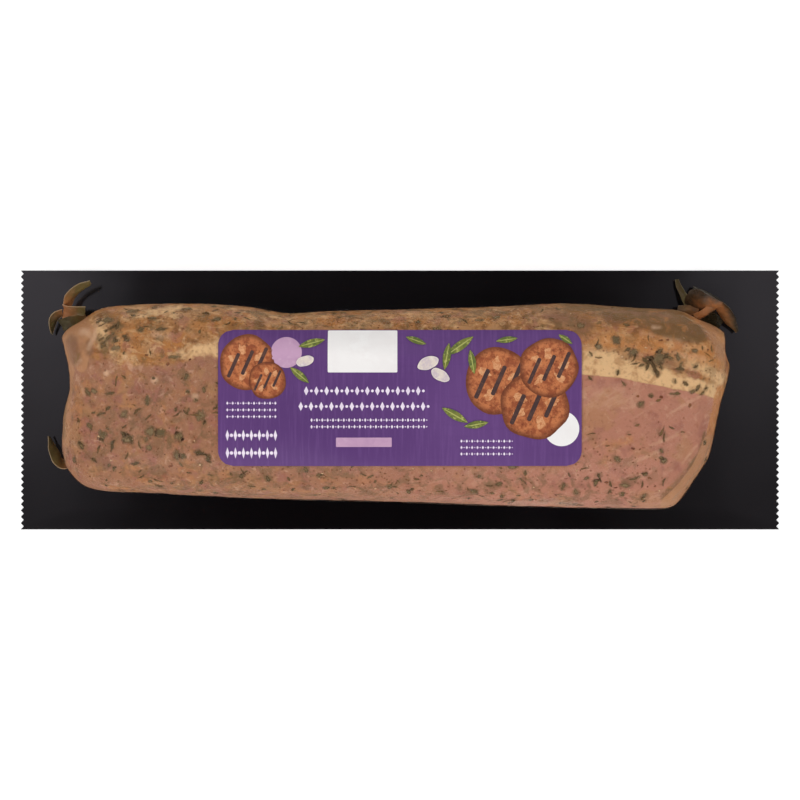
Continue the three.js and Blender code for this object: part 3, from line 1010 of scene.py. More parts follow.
DARK_FLAKE = RubKind(
    "dark_flakes", Shape.BLADE,
    RubFinish("dark_flake", tone(88, 72, 48), tone(118, 98, 68), tone(138, 106, 76)),
    130, (1.4, 3.6), (0.8, 1.6), 0.12, 0.05, 0.6, herbs(
        (-116.9, -9.9, 3.4, 1.9, -55), (-112.2, -15.2, 1.8, 1.2, -30), (-120.0, -17.3, 3.2, 1.6, -50),
        (-115.3, -22.7, 2.8, 1.4, -35), (-107.7, -17.1, 4.8, 1.3, 75), (-103.6, -13.0, 3.6, 1.3, -55),
        (-101.4, -14.4, 3.4, 1.4, -62), (-82.4, -13.4, 4.2, 1.2, -48), (-74.9, -19.7, 4.2, 2.2, -10),
        (-72.3, -21.6, 3.2, 2.4, 60), (-109.4, -3.3, 2.8, 1.3, 40), (-112.2, -5.4, 3.6, 1.3, 10),
        (-106.6, 28.2, 4.4, 1.5, 85), (-108.8, 27.4, 3.6, 1.2, 38), (-109.2, 23.3, 4.2, 1.4, 40),
        (-107.1, 22.5, 3.6, 1.5, 82), (-111.5, 20.6, 2.6, 1.6, 70), (-103.6, 23.8, 2.0, 1.7, 0),
        (-97.5, 26.7, 3.0, 2.0, 20), (-90.0, 26.7, 5.6, 1.9, 4), (-93.4, 30.8, 4.0, 1.4, -6),
        (-74.9, 25.5, 2.0, 1.5, 80), (-84.7, 16.1, 5.2, 1.2, 4), (92.5, 12.7, 4.0, 1.4, 72),
        (94.7, 12.3, 5.4, 1.5, -64), (96.2, 10.4, 4.2, 1.8, -76), (91.7, 15.0, 2.8, 1.5, -45),
        (97.4, 18.7, 3.0, 1.6, 30), (101.1, 15.9, 2.4, 1.2, -12), (110.6, 12.7, 2.6, 1.2, 15),
        (104.5, 11.2, 3.8, 1.4, -5), (105.3, 13.1, 2.6, 1.0, 60), (107.0, 6.3, 2.6, 1.8, -30),
        (103.0, 7.0, 2.2, 1.0, 85), (109.6, 3.4, 3.0, 1.8, 10), (112.0, 4.6, 2.6, 1.4, 60),
        (113.4, 2.6, 2.6, 1.2, 30), (115.1, 4.4, 2.2, 1.4, 15), (103.0, 2.5, 4.4, 1.3, 0),
        (93.2, 15.6, 4.0, 1.4, -20), (98.0, 12.4, 3.2, 1.5, -70), (99.4, 16.6, 3.0, 1.2, 50),
        (90.8, 13.0, 2.8, 1.1, 20),
        (81.5, 10.4, 2.2, 1.0, 80), (83.8, 6.3, 3.2, 1.1, -55), (71.4, 8.2, 2.2, 1.0, -50),
        (85.4, 28.2, 3.0, 1.2, -20), (73.6, -31.0, 3.0, 2.0, 80), (78.9, -34.4, 2.6, 1.8, 50),
        (83.8, -35.6, 3.0, 1.6, 80), (88.0, -29.1, 4.2, 1.2, 20), (98.0, -21.8, 2.2, 1.4, -20),
    ), 2.2, 0.1,
)
NEEDLE = RubKind(
    "herb_needles", Shape.BLADE,
    RubFinish("herb_needle", tone(92, 70, 44), tone(122, 94, 60), tone(134, 102, 70)),
    140, (1.8, 4.2), (0.45, 0.85), 0.14, 0.06, 0.4, herbs(
        (-98.1, -4.3, 3.8, 1.0, 40), (-97.3, -16.7, 3.6, 0.8, -75), (-91.1, -29.9, 5.2, 0.9, -25),
        (-97.5, -28.4, 3.4, 0.8, 40), (-83.6, -5.0, 3.4, 0.9, 35), (-121.3, -7.7, 3.0, 0.8, -60),
        (-102.8, -20.8, 3.0, 0.8, 65), (-95.3, 27.2, 2.6, 0.6, -10), (74.4, 16.1, 2.4, 0.7, 0),
        (87.9, 13.8, 3.6, 0.9, 10), (97.4, -12.0, 4.8, 1.0, 57), (99.3, -13.8, 4.4, 1.0, 84),
        (105.7, -12.2, 2.2, 0.6, 0), (88.7, -9.2, 2.4, 0.7, 25), (85.7, -12.6, 2.0, 0.6, -5),
        (91.3, -37.0, 3.2, 0.9, 60), (91.7, -27.3, 2.6, 0.7, 5), (113.6, 19.5, 2.0, 0.8, 85),
        (96.6, -0.1, 2.4, 0.9, 20), (-58.0, 30.5, 4.2, 0.9, -35), (-37.0, 29.0, 3.4, 0.8, -20),
        (24.0, 29.5, 4.4, 0.9, -50), (46.0, -30.5, 4.2, 1.0, -45), (-18.0, -33.0, 4.6, 0.7, 5),
        (15.0, -34.5, 4.6, 0.7, -12),
    ), 2.0, 0.18, 0.12,
)
SPICE_SPECK = RubKind(
    "spice_specks", Shape.GRAIN,
    RubFinish("spice_speck", tone(108, 56, 40), tone(140, 88, 60), tone(138, 90, 66)),
    480, (0.35, 1.1), (0.3, 0.7), 0.25, 0.02, 0.0, herbs(
        (-94.9, -19.4, 1.3, 0.9, 0), (-86.0, -24.8, 2.2, 1.0, 20), (-95.0, 17.0, 1.5, 1.1, 0),
        (-78.7, 15.2, 1.3, 0.9, 30), (-87.0, 13.5, 1.8, 1.5, 60), (89.1, 1.4, 1.4, 1.1, 0),
        (97.8, 1.0, 1.7, 1.3, 0), (108.7, -2.0, 2.1, 1.4, 75), (87.2, -18.2, 2.0, 1.2, -10),
        (77.6, -31.0, 1.9, 1.1, 0), (93.6, -29.1, 1.4, 1.2, 0), (95.9, -32.3, 1.2, 0.9, 40),
        (81.2, -32.9, 1.8, 0.8, 10),
        (98.0, 22.5, 1.9, 0.9, 5), (100.5, 22.6, 1.4, 0.9, 0),
    ), fade=0.6,
)
GARLIC_BIT = RubKind(
    "garlic_bits", Shape.GRAIN,
    RubFinish("garlic_bit", tone(206, 164, 124), tone(226, 192, 152), tone(200, 156, 120)),
    110, (0.7, 1.6), (0.6, 1.1), 0.22, 0.0, 0.0, fade=0.7,
)


@dataclass
class Rub:
    """Herbs and spices scattered on the fillet, pressed on by the film.

    Nothing lies below lowest, and the wall between its two levels has less than the crown. A herb
    stains the meat as far as its own size times stain_share, and stain_margin more.
    """

    zones: MeatZones
    mesh: bmesh.types.BMesh
    kinds: tuple[RubKind, ...] = (SOAKED_LEAF, DARK_FLAKE, NEEDLE, SPICE_SPECK, GARLIC_BIT)
    seed: int = 7
    lowest: float = 3.0
    wall_share: float = 0.35
    wall_foot: float = 4.0
    wall_top: float = 12.0
    blade_stations: int = 6
    blade_taper: float = 1.94
    grain_rise: float = 0.3
    swell: float = 1.25
    above: float = 60.0
    size_bias: float = 1.5
    fray_out: float = 0.5
    upper_from: float = 0.25
    stain_share: float = 0.6
    stain_margin: float = 0.9
    stain_core: float = 0.25

    def __post_init__(self) -> None:
        """Reads the fillet's surface once."""
        self.mesh.normal_update()
        self.mesh.faces.ensure_lookup_table()
        self.tree = BVHTree.FromBMesh(self.mesh)
        self.middles = np.array([face.calc_center_median() for face in self.mesh.faces]) / MM
        self.areas = np.array([face.calc_area() for face in self.mesh.faces])
        self.random = np.random.default_rng(self.seed)
        self.stains: list[tuple[Vector, float, float]] = []

    def chances(self) -> np.ndarray:
        """How likely each face is to get a thing.

        Returns:
            Its chance, by its area, its height and the rub's thickness there. They add up to 1.
        """
        x, y, z = self.middles.T
        high = self.wall_share + (1 - self.wall_share) * smooth(z, self.wall_foot, self.wall_top)
        likely = self.areas * self.zones.seasoning(x, y) * high * (z > self.lowest)
        return likely / likely.sum()

    def blade(self, kind: RubKind) -> tuple[np.ndarray, np.ndarray]:
        """A flat leaf of unit length, width and thickness.

        Args:
            kind: The kind it is of, which says how blunt its ends are.

        Returns:
            Its corners and faces.
        """
        leaf = bmesh.new()
        bmesh.ops.create_grid(leaf, x_segments=self.blade_stations, y_segments=2, size=0.5)
        bmesh.ops.solidify(leaf, geom=leaf.faces[:], thickness=1.0)
        leaf.verts.index_update()
        corners = np.array([corner.co for corner in leaf.verts])
        faces = np.array([[corner.index for corner in face.verts] for face in leaf.faces])
        leaf.free()
        corners[:, 2] -= corners[:, 2].min()
        ends = np.abs(self.blade_taper * corners[:, 0]) ** kind.bluntness
        corners[:, 1] *= (1 - ends) ** (1 / kind.bluntness)
        return corners, faces

    def grain(self) -> tuple[np.ndarray, np.ndarray]:
        """A small chip of unit size.

        Returns:
            Its corners and faces.
        """
        chip = bmesh.new()
        bmesh.ops.create_icosphere(chip, subdivisions=1, radius=0.5)
        chip.verts.index_update()
        corners = np.array([corner.co for corner in chip.verts])
        faces = np.array([[corner.index for corner in face.verts] for face in chip.faces])
        chip.free()
        corners[:, 2] += self.grain_rise
        return corners, faces

    def draws(self, kind: RubKind) -> list[tuple[Vector, Vector, float, float, float]]:
        """Surface point, normal, length, width and turn of everything of a kind.

        Args:
            kind: The kind.

        Returns:
            First the ones that are placed, then the ones that are drawn.
        """
        found = []
        for herb in kind.placed:
            start = Vector((herb.x, herb.y, self.above)) * MM
            point, normal, _, _ = self.tree.ray_cast(start, Vector((0, 0, -1)))
            if point is not None:
                found.append((point, normal, herb.length, herb.width, math.radians(herb.turn)))
        for number in self.random.choice(len(self.areas), kind.count, p=self.chances()):
            face = self.mesh.faces[int(number)]
            part = self.random.random() ** self.size_bias
            length = kind.length[0] + (kind.length[1] - kind.length[0]) * part
            width = self.random.uniform(*kind.width)
            turn = self.random.uniform(0, math.pi)
            found.append((face.calc_center_median(), face.normal.copy(), length, width, turn))
        return found

    def lay(self, kind: RubKind, corners: np.ndarray, point: Vector, normal: Vector, length: float,
            width: float, turn: float) -> list[Vector]:
        """Lays one thing on the surface.

        Args:
            kind: Its kind.
            corners: The corners of its shape at unit size.
            point: Where it lies.
            normal: The surface's normal there.
            length: Its length.
            width: Its width.
            turn: Its turn about the normal.

        Returns:
            The places of its corners, in metres.
        """
        tilt = Vector((0, 0, 1)).rotation_difference(normal)
        ahead = tilt @ Vector((math.cos(turn), math.sin(turn), 0))
        aside = normal.cross(ahead)
        if kind.shape is Shape.BLADE:
            length, width = length * self.swell, width * self.swell
        arc = self.random.uniform(-kind.bend, kind.bend) * length
        sides = (self.blade_stations + 1, 2)
        rim = self.random.uniform(1 - kind.fray, 1 + kind.fray * self.fray_out, sides)
        places = []
        for u, v, w in corners:
            flat = v * width * rim[round((u + 0.5) * self.blade_stations), int(v > 0)]
            spot = point + (ahead * (u * length) + aside * (flat + arc * (1 - 4 * u * u))) * MM
            if kind.shape is Shape.BLADE:
                spot, facing, _, _ = self.tree.find_nearest(spot)
            else:
                facing = normal
            places.append(spot + facing * ((w * kind.thickness + kind.lift) * MM))
        return places

    def scatter(self, kind: RubKind) -> bpy.types.Object:
        """Makes everything of one kind as one joined piece.

        Args:
            kind: The kind.

        Returns:
            The piece.
        """
        corners, faces = self.blade(kind) if kind.shape is Shape.BLADE else self.grain()
        rim = kind.fade * np.clip(np.hypot(corners[:, 0] * 2, corners[:, 1] * 2), 0, 1)
        upper = (corners[:, 2] > self.upper_from).astype(float)
        places, shades = [], []
        draws = self.draws(kind)
        for draw in draws:
            places += self.lay(kind, corners, *draw)
            shades += [self.random.random()] * len(corners)
            if kind.stain:
                reach = max(draw[2], draw[3]) * self.stain_share + self.stain_margin
                self.stains.append((draw[0], reach, kind.stain))
        first = np.arange(len(draws))[:, None, None] * len(corners)
        joined = (faces[None] + first).reshape(-1, faces.shape[1])
        data = bpy.data.meshes.new(kind.name)
        data.from_pydata(places, [], joined.tolist())
        for name, values in (("shade", shades), ("rim", np.tile(rim, len(draws))),
                             ("upper", np.tile(upper, len(draws)))):
            layer = data.attributes.new(name, "FLOAT", "POINT")
            layer.data.foreach_set("value", np.asarray(values, dtype=np.float32))
        mesh = bmesh.new()
        mesh.from_mesh(data)
        bpy.data.meshes.remove(data)
        return as_piece(kind.name, mesh, "herb_rub", kind.finish.material(), "fillet_in_film")

    def haze(self) -> np.ndarray:
        """How much the juice of the herbs stains the fillet.

        Returns:
            A value for each corner of its mesh.
        """
        corners = kdtree.KDTree(len(self.mesh.verts))
        for number, corner in enumerate(self.mesh.verts):
            corners.insert(corner.co, number)
        corners.balance()
        stain = np.zeros(len(self.mesh.verts))
        for point, reach, strength in self.stains:
            for _, number, away in corners.find_range(point, reach * MM):
                fade = 1 - smooth(np.float64(away / MM), reach * self.stain_core, reach)
                stain[number] = max(stain[number], strength * fade)
        return stain

    def build(self) -> np.ndarray:
        """Scatters every kind.

        Returns:
            The stain that they leave on each corner of the fillet.
        """
        for kind in self.kinds:
            self.scatter(kind)
        return self.haze()


@dataclass(frozen=True)
class FilmFinish:
    """Clear glossy vacuum film, tinted where juice lies under it, whitened along its creases as stretched
    film with a painted highlight on it, and with a painted highlight where it turns over the wall.
    """

    clear: Colour = (0.985, 0.98, 0.97, 1.0)
    juice: Colour = tone(176, 130, 92)
    # The pale film colour: stretched film, and painted highlights along the creases and the wall's shoulder.
    stretched: Colour = tone(206, 184, 156)
    roughness: float = 0.2

    def material(self) -> bpy.types.Material:
        """Makes the material.

        Returns:
            The node material.
        """
        r = Recipe("clear_film")
        normal = r.bump(r.noise(6, 1.0, 3, 0.55, r.stretched((0.5, 1.3, 0.5), 20), 0.4), 0.3, 0.5)
        gloss = r.node("ShaderNodeBsdfAnisotropic", {"Color": (1, 1, 1, 1), "Roughness": self.roughness,
                                                     "Normal": normal}).outputs[0]
        see = r.see_through(self.clear)
        facing = r.node("ShaderNodeFresnel", {"IOR": 1.4, "Normal": normal}).outputs[0]
        shine = r.sums("MULTIPLY", r.span(facing, 0.02, 0.6, 0.006, 0.03), r.attribute("outer"))
        film = r.mixed(shine, see, gloss)
        cloud = r.noise(5, 2.0, 3, 0.6, warp=0.4)
        # Juice tints the film; the pale skin is whitened creases and painted highlights.
        for mark, tint, strength in (("juice", self.juice, 0.75), ("stretch_and_highlight", self.stretched, 0.85)):
            skin = r.principled({"Base Color": tint, "Roughness": 0.3, "Normal": normal})
            share = r.span(r.ragged(mark, cloud, 0.35), 0.12, 1.0, 0.0, strength)
            film = r.mixed(r.sums("MULTIPLY", share, r.attribute("outer")), film, skin)
        return r.done(film)


@dataclass
class ClearFilm:
    """The clear film drawn down over the fillet and sealed to the backing round its foot."""

    form: FilletForm
    finish: FilmFinish = FilmFinish()
    thickness: float = 0.09
    along: int = 150
    round_end: int = 84
    wall: int = 12
    over: int = 46
    skirt: tuple[Point, ...] = ((1.0, -0.02), (0.55, 0.12), (0.2, 0.5))
    pucker: float = 0.3
    pucker_length: float = 7.5
    pucker_height_share: float = 0.12
    pucker_foot: float = 1.0
    pucker_top: float = 14.0
    creases: Strokes = strokes(
        (((-112.2, 33.9), (-114.4, 20.7), (-120.8, 13.1)), 0.9, 0.4),
        (((115.6, -15), (112.2, -21), (106.4, -29), (99.6, -36.8)), 0.8, 0.35),
        (((107, 32), (114.3, 28), (117.7, 20.6)), 0.9, 0.4),
    )
    juice: Strokes = strokes(
        (((-121, 29), (-118.5, 20)), 3.4, 0.25, 0.5), (((114.6, -15.5), (100, -36)), 1.6, 0.3, 0.6),
        (((116, 29), (121, 18)), 3.0, 0.35, 0.6),
    )
    # Pale lines along the creases: stretched film with a painted highlight on it.
    stretch_and_highlight: Strokes = strokes(
        (((115.0, -14), (110.6, -22.4), (104.6, -30), (98.4, -36.6)), 0.4, 0.3, 0.8),
        (((117.4, -17), (114.8, -24), (108.2, -32.6), (103.0, -38)), 0.45, 0.4, 0.7),
        (((-112.2, 33.9), (-114.4, 20.7), (-120.8, 13.1)), 0.7, 0.2, 0.9),
        (((107, 32), (114.3, 28), (117.7, 20.6)), 0.5, 0.4, 0.8),
        (((42, -39.6), (58, -38.4), (66, -39.6)), 1.5, 0.35, 0.6),
    )
    # Paths of the painted highlight along the wall's shoulder.
    shoulder: Strokes = strokes(
        (((-46, -38.8), (0, -39.7), (46.3, -41.2), (77, -41.9), (104, -41.8)), 0.6, 0.9, 0.6),
        (((-128.5, -25), (-126, -30), (-121.5, -33.4), (-114, -35.4)), 0.6, 0.7, 0.6),
        (((-130, 24), (-127.8, 12), (-127.4, 5), (-129.6, -3), (-130, -16)), 0.5, 0.4, 0.6),
        (((124.8, 26), (126.8, 14), (125.9, 8), (123.4, -1), (118.8, -22), (107.6, -38.8)), 0.55, 0.9, 0.6),
        (((-129.6, 22.4), (-126, 28.6), (-119.6, 33.8)), 0.5, 0.45, 0.6),
    )
    shoulder_levels: Place = (9.4, 11.4, 18.0)
    shoulder_breaks: float = 9.0
    shoulder_height_share: float = 0.3
    shoulder_mean: float = 0.8
    shoulder_swing: float = 0.9
    shoulder_least: float = 0.2

    def outside(self) -> np.ndarray:
        """Lays out the film's outer face: skirt, wall and crown.

        Returns:
            The points as rows, columns and coordinates.
        """
        grid = self.form.wrap(self.along, self.round_end, self.wall, self.over, self.form.foot_tuck)
        normals = grid_normals(grid)
        flat = grid.reshape(-1, 3)
        raised = sum(crease.ridge(flat[:, 0], flat[:, 1]) for crease in self.creases)
        low = 1 - smooth(flat[:, 2], self.pucker_foot, self.pucker_top)
        upright = np.array([1, 1, self.pucker_height_share])
        drawn = noise_at(flat * upright, self.pucker_length, 3, 5.0) * self.pucker * low
        grid = grid + normals * (raised + drawn).reshape(grid.shape[:2])[..., None]
        outward = normals[0] * np.array([1, 1, 0])
        outward /= np.linalg.norm(outward, axis=1, keepdims=True)
        rings = []
        for out, up in self.skirt:
            ring = grid[0] + outward * out
            ring[:, 2] = self.form.foot + up
            rings.append(ring)
        return np.concatenate([np.array(rings), grid[1:]])

    def shoulder_highlight(self, flat: np.ndarray) -> np.ndarray:
        """The painted highlight where the film turns over the wall, in broken lengths: how far the pale film
        colour covers each point.

        Args:
            flat: The film's points, one a row.

        Returns:
            A value from 0 to 1 for each of them.
        """
        x, y, z = flat.T
        foot, full, top = self.shoulder_levels
        upright = np.array([1, 1, self.shoulder_height_share])
        swing = self.shoulder_swing * noise_at(flat * upright, self.shoulder_breaks, 2, 6.0)
        broken = self.shoulder_mean + swing
        level = smooth(z, foot, full) * (1 - smooth(z, full, top))
        return MeatZones.over(self.shoulder, x, y) * level * np.clip(broken, self.shoulder_least, 1)

    def build(self) -> bpy.types.Object:
        """Makes the film as a thin closed shell: its inner face from the spine to the skirt, then its outer.

        Returns:
            The piece.
        """
        outer = self.outside()
        inner = outer - grid_normals(outer) * self.thickness
        grid = np.concatenate([inner[::-1], outer])
        flat = grid.reshape(-1, 3)
        x, y, _ = flat.T
        # The pale colour's cover: crease lines and the painted shoulder highlight.
        stretch_and_highlight = np.maximum(MeatZones.over(self.stretch_and_highlight, x, y), self.shoulder_highlight(flat))
        marks = {"outer": np.repeat([0.0, 1.0], outer.shape[0] * outer.shape[1]),
                 "juice": MeatZones.over(self.juice, x, y), "stretch_and_highlight": stretch_and_highlight}
        return as_piece("clear_film", sheet_from_grid(grid, marks), "clear_film", self.finish.material(),
                        "fillet_in_film")


@dataclass(frozen=True)
class FoldFinish:
    """Two layers of film pinched together with a little juice between them, darkened with painted shade in
    their hollows and along shaded edges, and with painted highlight lines along their edges.
    """

    amber: Colour = tone(164, 106, 64)
    olive: Colour = tone(112, 98, 60)
    # Painted shade of the folds' hollows and shaded edges.
    dark: Colour = tone(42, 36, 26)
    # Pale patches, and the painted highlight along the folds' edges.
    pale: Colour = tone(186, 158, 126)
    behind: Colour = (0.7, 0.6, 0.42, 1.0)

    def material(self) -> bpy.types.Material:
        """Makes the material.

        Returns:
            The node material.
        """
        r = Recipe("film_folds")
        cloud = r.noise(3.0, 1.0, 4, 0.62, warp=0.5)
        colour = r.blend(r.span(r.ragged("warm", cloud, 0.9), 0.1, 0.9), self.olive, self.amber)
        colour = r.blend(r.span(cloud, 0.5, 0.68, 0, 0.35), colour, self.pale)
        # The deep mark lays the painted shade.
        colour = r.blend(r.span(r.ragged("deep", cloud, 0.8), 0.15, 0.95, 0, 0.92), colour, self.dark)
        # A painted highlight along both edges of each panel.
        colour = r.blend(r.span(r.attribute("edge_highlight"), 0.7, 1.0, 0, 0.5), colour, self.pale)
        normal = r.bump(r.noise(2.0, 2.0, 3, 0.6, warp=0.8), 0.3, 0.7)
        skin = r.principled({"Base Color": colour, "Roughness": 0.3, "Normal": normal,
                             "Specular IOR Level": 0.2})
        return r.done(r.mixed(r.span(cloud, 0.3, 0.75, 0.95, 0.7), r.see_through(self.behind), skin))


@dataclass(frozen=True)
class FoldPanel:
    """A length of pinched film between two edges, from the fillet outwards."""

    name: str
    low: tuple[Place, ...]
    high: tuple[Place, ...]
    belly: float = 1.0
    warm: Point = (1.0, 0.0)
    # deep and shaded set the painted shade: along the panel, and towards its low and high edges.
    deep: Point = (0.0, 0.3)
    # How strong the painted highlight along the panel's edges is.
    edge_highlight: float = 1.0
    shaded: Point = (0.0, 0.0)


@dataclass
class CornerFolds:
    """The film's pinched folds at three of the fillet's corners."""

    finish: FoldFinish = FoldFinish()
    steps: int = 10
    bands: int = 12
    thickness: float = 0.3
    crumple: float = 0.55
    ripple_size: float = 4.0
    edge_ripple: float = 0.3
    panels: tuple[FoldPanel, ...] = (
        FoldPanel(
            "fat_left_web", ((-121.5, 32.4, 13), (-124.7, 32.9, 11), (-127.8, 32.2, 9), (-130.6, 31.7, 8)),
            ((-120.3, 35.7, 18), (-123.8, 35.8, 19), (-127.0, 36.0, 18), (-129.5, 36.7, 15)),
            0.9, (0.0, 1.1), (0.15, 0.0)),
        FoldPanel(
            "fat_left_gusset", ((-120.6, 30.0, 8), (-125.5, 28.0, 7), (-130.4, 26.8, 5)),
            ((-121.3, 33.2, 12), (-126.5, 32.8, 10), (-132.6, 31.0, 7)), 0.3, (0.4, 0.1), (0.2, 0.75), 0.0),
        FoldPanel(
            "fat_left_upper_blade",
            ((-126.4, 35.4, 13), (-125.0, 39.3, 12), (-122.6, 41.9, 12), (-118.9, 44.5, 13)),
            ((-129.6, 36.2, 14), (-127.4, 40.3, 20), (-122.9, 44.0, 20), (-118.7, 45.6, 17)),
            0.6, (1.0, -0.5), (0.1, 0.15)),
        FoldPanel(
            "fat_left_lower_blade",
            ((-130.4, 32.4, 9), (-132.2, 31.7, 8), (-133.3, 30.0, 7), (-134.0, 27.8, 6), (-134.9, 25.4, 5)),
            ((-129.8, 34.9, 14), (-132.6, 33.9, 15), (-134.6, 31.9, 14), (-135.4, 29.0, 11),
             (-135.4, 25.8, 6)), 0.4, (0.7, -0.2), (0.1, 0.4), 1.0, (0.7, 0.0)),
        FoldPanel(
            "fat_right_lobe",
            ((110.2, 37.4, 8), (112.4, 35.6, 10), (115.5, 34.4, 12), (118.0, 34.6, 13), (121.0, 35.6, 13)),
            ((111.6, 42.4, 12), (114.0, 42.6, 15), (117.3, 40.6, 18), (120.6, 38.8, 18), (123.6, 37.2, 18)),
            1.2, (1.2, 1.2), (0.6, -0.3), 0.0, (0.7, 0.9)),
        FoldPanel(
            "fat_right_tail", ((121.2, 35.4, 13), (122.8, 33.4, 10), (125.6, 30.0, 7), (129.8, 26.8, 4.5)),
            ((123.4, 37.4, 18), (126.6, 34.8, 16), (129.4, 31.2, 11), (131.4, 26.8, 6)),
            0.8, (1.0, 0.4), (-0.2, 0.2), 0.0, (0.1, 1.0)),
        FoldPanel(
            "fat_right_ridge", ((113.4, 30.2, 12), (116.4, 31.4, 12), (119.0, 33.0, 13), (121.8, 34.9, 14)),
            ((112.6, 33.0, 15), (115.4, 34.2, 16), (118.0, 36.2, 16), (120.4, 38.2, 17)),
            0.9, (0.9, 1.2), (0.0, 0.0), 0.0, (0.9, 0.0)),
        FoldPanel(
            "fat_right_root", ((107.0, 34.0, 9), (110.5, 33.0, 10), (114.0, 32.4, 12)),
            ((107.8, 36.6, 8), (111.4, 36.6, 10), (116.0, 36.4, 13)), 0.3, (0.4, 0.8), (0.6, 0.5), 0.0),
        FoldPanel(
            "fat_right_hollow", ((115.6, 30.2, 7), (119.0, 28.6, 6), (123.4, 27.4, 5)),
            ((118.4, 33.4, 10), (121.6, 33.4, 10), (125.2, 30.6, 8)), 0.3, (0.1, 0.1), (1.0, 0.9), 0.0),
        FoldPanel(
            "fat_right_shade", ((113.2, 42.6, 9), (119.8, 39.6, 10), (125.6, 36.0, 9), (129.6, 31.6, 6)),
            ((113.8, 44.4, 5), (120.8, 41.2, 5), (127.2, 36.6, 5), (131.0, 31.6, 4)),
            0.3, (0.1, 0.0), (0.9, 0.9), 0.0),
        FoldPanel(
            "fat_right_frill", ((110.2, 36.4, 8), (108.8, 40.2, 6), (107.6, 43.5, 4), (106.8, 46.8, 3)),
            ((112.0, 38.0, 11), (110.8, 40.9, 9), (109.6, 43.8, 6), (108.3, 47.0, 4)),
            0.4, (0.2, 0.2), (0.45, 0.6), 0.3),
        FoldPanel(
            "lean_left_blade",
            ((-127.2, -23.8, 5), (-130.8, -22.8, 5), (-132.2, -20.1, 5), (-133.6, -17.8, 5),
             (-135.6, -14.5, 4)),
            ((-127.2, -26.2, 12), (-130.4, -26.2, 13), (-133.0, -24.4, 13), (-135.2, -20.1, 11),
             (-136.1, -14.0, 8)), 0.4, (0.7, -0.2), (0.1, 0.45)),
    )

    def grid(self, panel: FoldPanel) -> np.ndarray:
        """Lays out a panel's surface between its edges, bulged and crumpled a little.

        Args:
            panel: The panel.

        Returns:
            The points as rows, columns and coordinates.
        """
        edges = (np.array(edge, float) for edge in (panel.low, panel.high))
        low, high = (catmull_rom(edge, False, self.steps) for edge in edges)
        up = np.linspace(0, 1, self.bands + 1)[:, None, None]
        grid = low[None] * (1 - up) + high[None] * up
        normal = np.cross(np.gradient(grid, axis=1), np.gradient(grid, axis=0))
        normal /= np.maximum(np.linalg.norm(normal, axis=2, keepdims=True), SHORT)
        ripple = noise_at(grid.reshape(-1, 3), self.ripple_size, 2, 2.0).reshape(grid.shape[:2])[..., None]
        inside = np.sin(math.pi * up)
        crumpled = self.edge_ripple + (1 - self.edge_ripple) * inside
        return grid + normal * (panel.belly * inside + self.crumple * ripple * crumpled)

    def build(self) -> None:
        """Makes every fold."""
        material = self.finish.material()
        for panel in self.panels:
            grid = self.grid(panel)
            shares = (np.linspace(0, 1, count) for count in grid.shape[:2])
            across, along = np.meshgrid(*shares, indexing="ij")
            # warm tints with juice; deep, with shaded added, sets the painted shade.
            marks = {name: start + (end - start) * along for name, (start, end) in
                     (("warm", panel.warm), ("deep", panel.deep))}
            # The painted highlight, strongest at both edges.
            marks["edge_highlight"] = panel.edge_highlight * np.abs(2 * across - 1) ** 3
            marks["deep"] += panel.shaded[0] * (1 - across) ** 2 + panel.shaded[1] * across**2
            sheet = sheet_from_grid(grid, marks)
            bmesh.ops.solidify(sheet, geom=sheet.faces[:], thickness=self.thickness * MM)
            as_piece(f"film_fold_{panel.name}", sheet, "clear_film", material, "fillet_in_film")


@dataclass(frozen=True)
class BackingFinish:
    """Thin black film, smooth and softly glossy."""

    black: Colour = tone(9, 7, 8)
    shine: Colour = (0.97, 0.9, 1.0, 1.0)

    def material(self) -> bpy.types.Material:
        """Makes the material.

        Returns:
            The node material.
        """
        r = Recipe("black_film")
        waves = r.noise(38, 1.0, 2, 0.5, r.stretched((1.0, 0.6, 1.0), 8))
        return r.done(r.principled({
            "Base Color": self.black, "Roughness": r.span(r.noise(55, 2.0, 2), 0.3, 0.7, 0.09, 0.14),
            "Normal": r.bump(waves, 0.15, 0.5), "Specular IOR Level": 0.5, "Specular Tint": self.shine,
        }))


@dataclass
class BackingSheet:
    """The flat black film under the fillet, straight along its sides and pinked at its ends."""

    finish: BackingFinish = BackingFinish()
    length: float = 296.0
    width: float = 101.0
    top: float = 0.6
    thickness: float = 0.3
    teeth: int = 41
    tooth_depth: float = 1.15
    columns: int = 148
    sink: float = 0.02
    rim_from: float = 0.84
    rim_drop: float = 0.1
    wave: float = 0.08
    wave_size: float = 42.0

    def build(self) -> bpy.types.Object:
        """Makes the sheet.

        Returns:
            The piece.
        """
        rows = 2 * self.teeth
        x, y = np.meshgrid(np.linspace(-0.5, 0.5, self.columns + 1) * self.length,
                           np.linspace(-0.5, 0.5, rows + 1) * self.width)
        notch = np.arange(rows + 1) % 2 * self.tooth_depth
        x[:, 0] += notch
        x[:, -1] -= notch
        flat = np.stack([x, y, np.zeros_like(x)], axis=2)
        out = np.maximum(np.abs(x) / self.length, np.abs(y) / self.width) * 2
        rim = smooth(out, self.rim_from, 1.0)
        ripple = noise_at(flat.reshape(-1, 3), self.wave_size, 2, 4.0).reshape(x.shape)
        flat[..., 2] = self.top - self.sink - rim * (self.rim_drop - self.wave * ripple)
        sheet = sheet_from_grid(flat)
        bmesh.ops.solidify(sheet, geom=sheet.faces[:], thickness=self.thickness * MM)
        return as_piece("backing_sheet", sheet, "backing_film", self.finish.material(), "backing_film")


